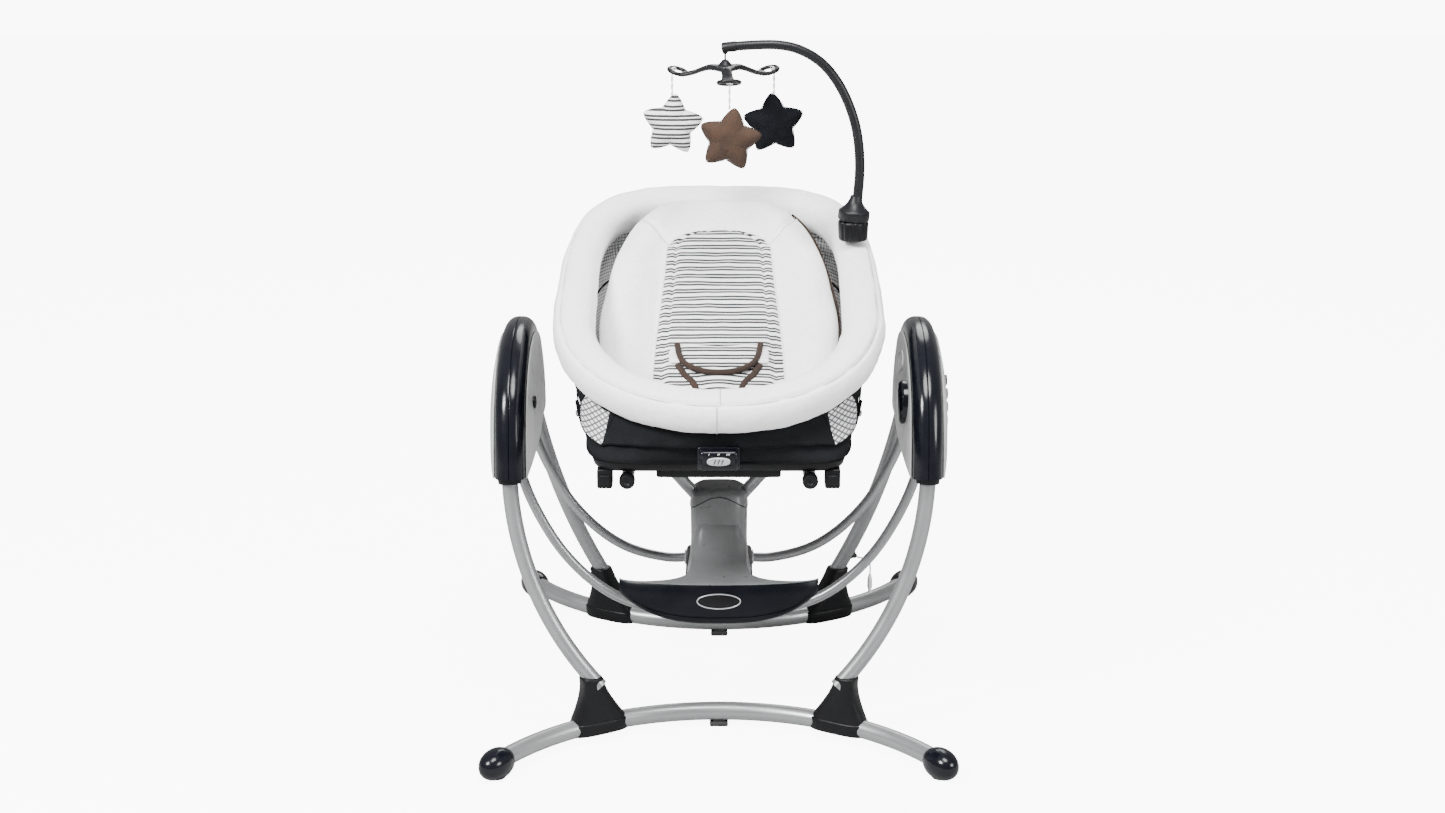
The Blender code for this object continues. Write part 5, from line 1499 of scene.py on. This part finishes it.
def mobile_hub():
    """The cap and the three arms: each rises a little, dips, and ends in an open loop."""
    bm = bmesh.new()
    cap = [(-0.0040, 0.0), (-0.0040, 0.0155), (-0.0005, 0.0168), (0.0015, 0.0160), (0.0025, 0.0122),
           (0.0060, 0.0095), (0.0100, 0.0058), (0.0112, 0.0058), (0.0118, 0.0040), (0.0130, 0.0016),
           (0.0270, 0.0014), (0.0290, 0.0)]
    add_lathe(bm, HUB + Vector((0, 0, 0.003)), (0, 0, 1), cap, sides=56)
    for _, heading in HUB_ARMS:
        out, across = hub_arm(radians(heading))
        # (distance out, rise, half width, half height)
        stations = [(0.004, 0.0010, 0.0150, 0.0055), (0.016, 0.0018, 0.0120, 0.0050),
                    (0.028, 0.0015, 0.0090, 0.0048), (0.042, -0.0030, 0.0085, 0.0042),
                    (0.056, -0.0085, 0.0100, 0.0040), (0.068, -0.0115, 0.0130, 0.0040),
                    (0.074, -0.0118, 0.0150, 0.0038)]
        points = smooth_points([(r, z, 0.0) for r, z, _, _ in stations], 4)
        sizes = smooth_points([(w, h, 0.0) for _, _, w, h in stations], 4)
        rings = []
        for place, size in zip(points, sizes):
            rings.append([HUB + out * place.x + across * u + Vector((0, 0, place.y + w))
                          for u, w in superellipse(size.x, size.y, 2.4, 32)])
        add_loft(bm, rings)
        middle = HUB + out * 0.0845 + Vector((0, 0, -0.0085))
        loop = [middle + out * (0.0135 * cos(a)) + across * (0.0165 * sin(a))
                + Vector((0, 0, 0.0045 * cos(a))) for a in circle(48)]
        add_sweep(bm, loop, 0.0032, sides=16, cyclic=True)
    stand_in("mobile_hub", bm, "arm", "mobile_spinner")


def star_reach(angle, radius):
    """The outline of a five-pointed star with fat rounded arms; the first arm points up."""
    wedge = pi / 5
    turn = (angle - pi / 2) % (2 * wedge)
    away = min(turn, 2 * wedge - turn)
    notch, tip = 0.62, 1.18
    straight = tip * notch * sin(wedge) / (notch * sin(wedge - away) + tip * sin(away))
    return radius * (straight ** -8 + 1.0) ** (-1 / 8)


def star_shape(radius, half_depth, count=120, levels=16):
    """A puffy star in its own X-Z plane, with a sewn edge."""
    rows = []
    for side in (-1, 1):
        for j in (range(levels + 1) if side < 0 else range(levels - 1, -1, -1)):
            rho = sin(pi / 2 * j / levels)
            ring = []
            for a in circle(count):
                reach = star_reach(a, radius)
                puff = half_depth * (1 - rho ** 2.6) ** 0.62
                pinch = 1 - 0.10 * max(0.0, sin(a * 30)) * max(0.0, (rho - 0.80) / 0.2) * (1 - rho)
                ring.append(Vector((reach * rho * cos(a), side * puff * pinch, reach * rho * sin(a))))
            rows.append(ring)
    return add_loft(bmesh.new(), rows)


def stars():
    looks = {"striped": ("star_striped", 6.0), "brown": ("brown", 10.0), "navy": ("star_navy", -4.0)}
    for name, heading in HUB_ARMS:
        out, _ = hub_arm(radians(heading))
        place = HUB + out * HUB_REACH
        look, tilt = looks[name]
        star = make_object(f"star_{name}_plush", star_shape(STAR_RADIUS * 0.97, 0.0125))
        inflate(star, pressure=3.0, cap=0.006, frames=14)
        turn = Matrix.Translation((place.x, place.y, STAR_CENTRE_Z)) @ Matrix.Rotation(radians(tilt), 4, "Y")
        star.data.transform(turn)
        dress(star, look, f"{name}_star", [f"star_{name}"], sharp=180)
        edge = [(a, star_reach(a, STAR_RADIUS * 0.975)) for a in circle(160)]
        bm = bmesh.new()
        add_sweep(bm, [turn @ Vector((reach * cos(a), 0.0, reach * sin(a))) for a, reach in edge], 0.0007,
                  sides=6, cyclic=True)
        piece(f"star_{name}_seam", bm, look, f"{name}_star")
        string(name, place, STAR_CENTRE_Z + STAR_RADIUS * 0.93)


def string(name, place, low):
    """The white string from the hub's loop to the star's top arm: two strands, their knot and its ends."""
    x, y, _ = place
    bm = bmesh.new()
    for phase in (0.0, pi):
        strand = []
        for k in range(41):
            z = low - 0.002 + (STRING_TOP + 0.003 - low) * k / 40
            turn = phase + (z - low) * 260.0
            strand.append((x + 0.0009 * cos(turn), y + 0.0009 * sin(turn), z))
        add_sweep(bm, strand, 0.0009, sides=10)
    knot_z = STRING_TOP + 0.0045
    for reach, lift in ((0.0042, 0.0), (0.0030, 0.0030)):
        loop = [(x + reach * cos(a), y + reach * 0.6 * sin(a), knot_z + lift + 0.0012 * sin(2 * a))
                for a in circle(28)]
        add_sweep(bm, loop, 0.0012, sides=10, cyclic=True)
    for across in (-1, 1):
        tail = smooth_points([(x, y, knot_z + 0.002), (x + across * 0.004, y - 0.002, knot_z + 0.005),
                              (x + across * 0.0065, y - 0.003, knot_z + 0.0035)], 5)
        add_sweep(bm, tail, 0.0009, sides=8)
    piece(f"string_{name}", bm, "ribbon", f"{name}_star")


# ---- power cord -----------------------------------------------------------------------
def power_cord():
    """The short white lead: straight out of its grommet, then down to its connector."""
    low = leg_point(REAR_LEG, 1, CORD_LEG_Z)
    along = (leg_point(REAR_LEG, 1, CORD_LEG_Z + 0.01) - low).normalized()
    out = Vector((along.z, 0.0, -along.x)).normalized()
    seat_point = low + out * (LEG_RADIUS + GAP)
    start = seat_point + out * (GROMMET[1] + GAP)
    bm = bmesh.new()
    shape = [(-0.0020, 0.0068), (0.0006, 0.0068), (0.0014, GROMMET[0]), (0.0040, 0.0044), (0.0060, 0.0034),
             (0.0060, 0.0016)]
    add_lathe(bm, seat_point, out, shape, sides=32)
    stand_in("cord_grommet", bm, "rubber", "frame")
    route = smooth_points([start, start + out * 0.004] + CORD_ROUTE, 4)
    curve = bpy.data.curves.new("power_cord_line", "CURVE")
    curve.dimensions = "3D"
    curve.bevel_depth = CORD_RADIUS
    curve.bevel_resolution = 6
    curve.use_fill_caps = True
    spline = curve.splines.new("POLY")
    spline.points.add(len(route) - 1)
    for point, place in zip(spline.points, route):
        point.co = (*place, 1.0)
    cord = add_object("power_cord_line", curve)
    curve.materials.append(LOOKS["white"].material)
    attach(cord, "frame")
    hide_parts("power_cord")
    top = Vector(CORD_ROUTE[-1])
    bm = bmesh.new()
    plug = [(0.0, 0.0020), (0.0010, 0.0028), (0.0060, 0.0034), (0.0070, 0.0043), (0.0240, 0.0045),
            (0.0250, 0.0040), (0.0258, 0.0040), (0.0264, 0.0030), (0.0330, 0.0029), (0.0333, 0.0024)]
    add_lathe(bm, top, (0, 0, -1), plug, sides=32)
    connector = stand_in("cord_connector", bm, "white", "frame")
    length = sum((b - a).length for a, b in zip(route, route[1:]))


# ---- stage ----------------------------------------------------------------------------
FLOOR_SHOWN, WORLD_SHOWN, WORLD_LIGHT = 8.7, 9.5, 0.42
FLOOR_HALF, FLOOR_Z = 8, -0.0005


def camera():
    data = bpy.data.cameras.new("camera")
    data.lens, data.sensor_width = 59.12, 36.0
    obj = add_object("camera", data)
    obj.location = (0.0057, -3.643, 1.543)
    obj.rotation_euler = (radians(73.55), 0.0, 0.0)
    bpy.context.scene.camera = obj


def light(name, place, target, size, power):
    data = bpy.data.lights.new(name, "AREA")
    data.shape, data.size, data.energy = "DISK", size, power
    obj = add_object(name, data)
    obj.location = place
    obj.rotation_euler = (Vector(target) - Vector(place)).to_track_quat("-Z", "Y").to_euler()


def only_seen(tree, socket, seen, otherwise):
    """One strength where it is looked at directly, and another for the light it gives."""
    path = tree.nodes.new("ShaderNodeLightPath")
    spread = tree.nodes.new("ShaderNodeMapRange")
    spread.inputs["To Min"].default_value = otherwise
    spread.inputs["To Max"].default_value = seen
    tree.links.new(path.outputs["Is Camera Ray"], spread.inputs["Value"])
    tree.links.new(spread.outputs["Result"], socket)


def studio():
    """A pale floor and a white surround that shows bright but lights the swing gently."""
    mesh = bpy.data.meshes.new("floor")
    corners = [(x * FLOOR_HALF, y * FLOOR_HALF, FLOOR_Z) for x, y in ((-1, -1), (1, -1), (1, 1), (-1, 1))]
    mesh.from_pydata(corners, [], [(0, 1, 2, 3)])
    floor = add_object("floor", mesh)
    pale = bpy.data.materials.new("floor")
    pale.use_nodes = True
    shader = pale.node_tree.nodes["Principled BSDF"]
    shader.inputs["Base Color"].default_value = (0.45, 0.45, 0.45, 1.0)
    shader.inputs["Roughness"].default_value = 0.9
    shader.inputs["Emission Color"].default_value = (1.0, 1.0, 1.0, 1.0)
    only_seen(pale.node_tree, shader.inputs["Emission Strength"], FLOOR_SHOWN, 0.0)
    mesh.materials.append(pale)
    world = bpy.data.worlds.new("studio")
    world.use_nodes = True
    background = world.node_tree.nodes["Background"]
    background.inputs["Color"].default_value = (1.0, 1.0, 1.0, 1.0)
    only_seen(world.node_tree, background.inputs["Strength"], WORLD_SHOWN, WORLD_LIGHT)
    bpy.context.scene.world = world
    light("key", (-2.2, -2.2, 3.0), (0.0, 0.0, 0.5), 1.2, 330)
    light("fill", (2.6, -1.8, 1.5), (0.0, 0.0, 0.5), 1.2, 75)
    light("back", (0.4, 2.6, 2.4), (0.0, 0.0, 0.6), 1.6, 40)
    light("top", (0.2, -1.1, 3.3), (0.0, 0.0, 0.4), 1.4, 150)


# ---- the whole swing ------------------------------------------------------------------
def build():
    base_tubes()
    feet()
    legs()
    leg_sockets()
    towers()
    drive_hub()
    speaker_grille()
    control_buttons()
    hangers()
    glider_chassis()
    pedestal_neck()
    pedestal_plate()
    pod()
    seat_cradle()
    seat_tray()
    rocker()
    vibration_unit()
    rim_cushion()
    bassinet()
    front_flap()
    mesh_windows()
    side_tabs()
    mesh_liner()
    line, pad = insert()
    striped_panel(line, pad)
    harness()
    mobile_clamp()
    mobile_arm()
    mobile_hub()
    stars()
    power_cord()


def dress_cad_nodes():
    """Plain nodes whose shape is right keep it and get a finished material."""
    pins = [f"pivot_pin_{end}_{side}" for end, _ in LEGS for side, _ in SIDES]
    for name in ["drive_motor", "rim_tube"] + pins:
        for slot in bpy.data.objects[name].material_slots:
            slot.link = "OBJECT"
            slot.material = LOOKS["steel"].material


camera()
studio()
build()
dress_cad_nodes()
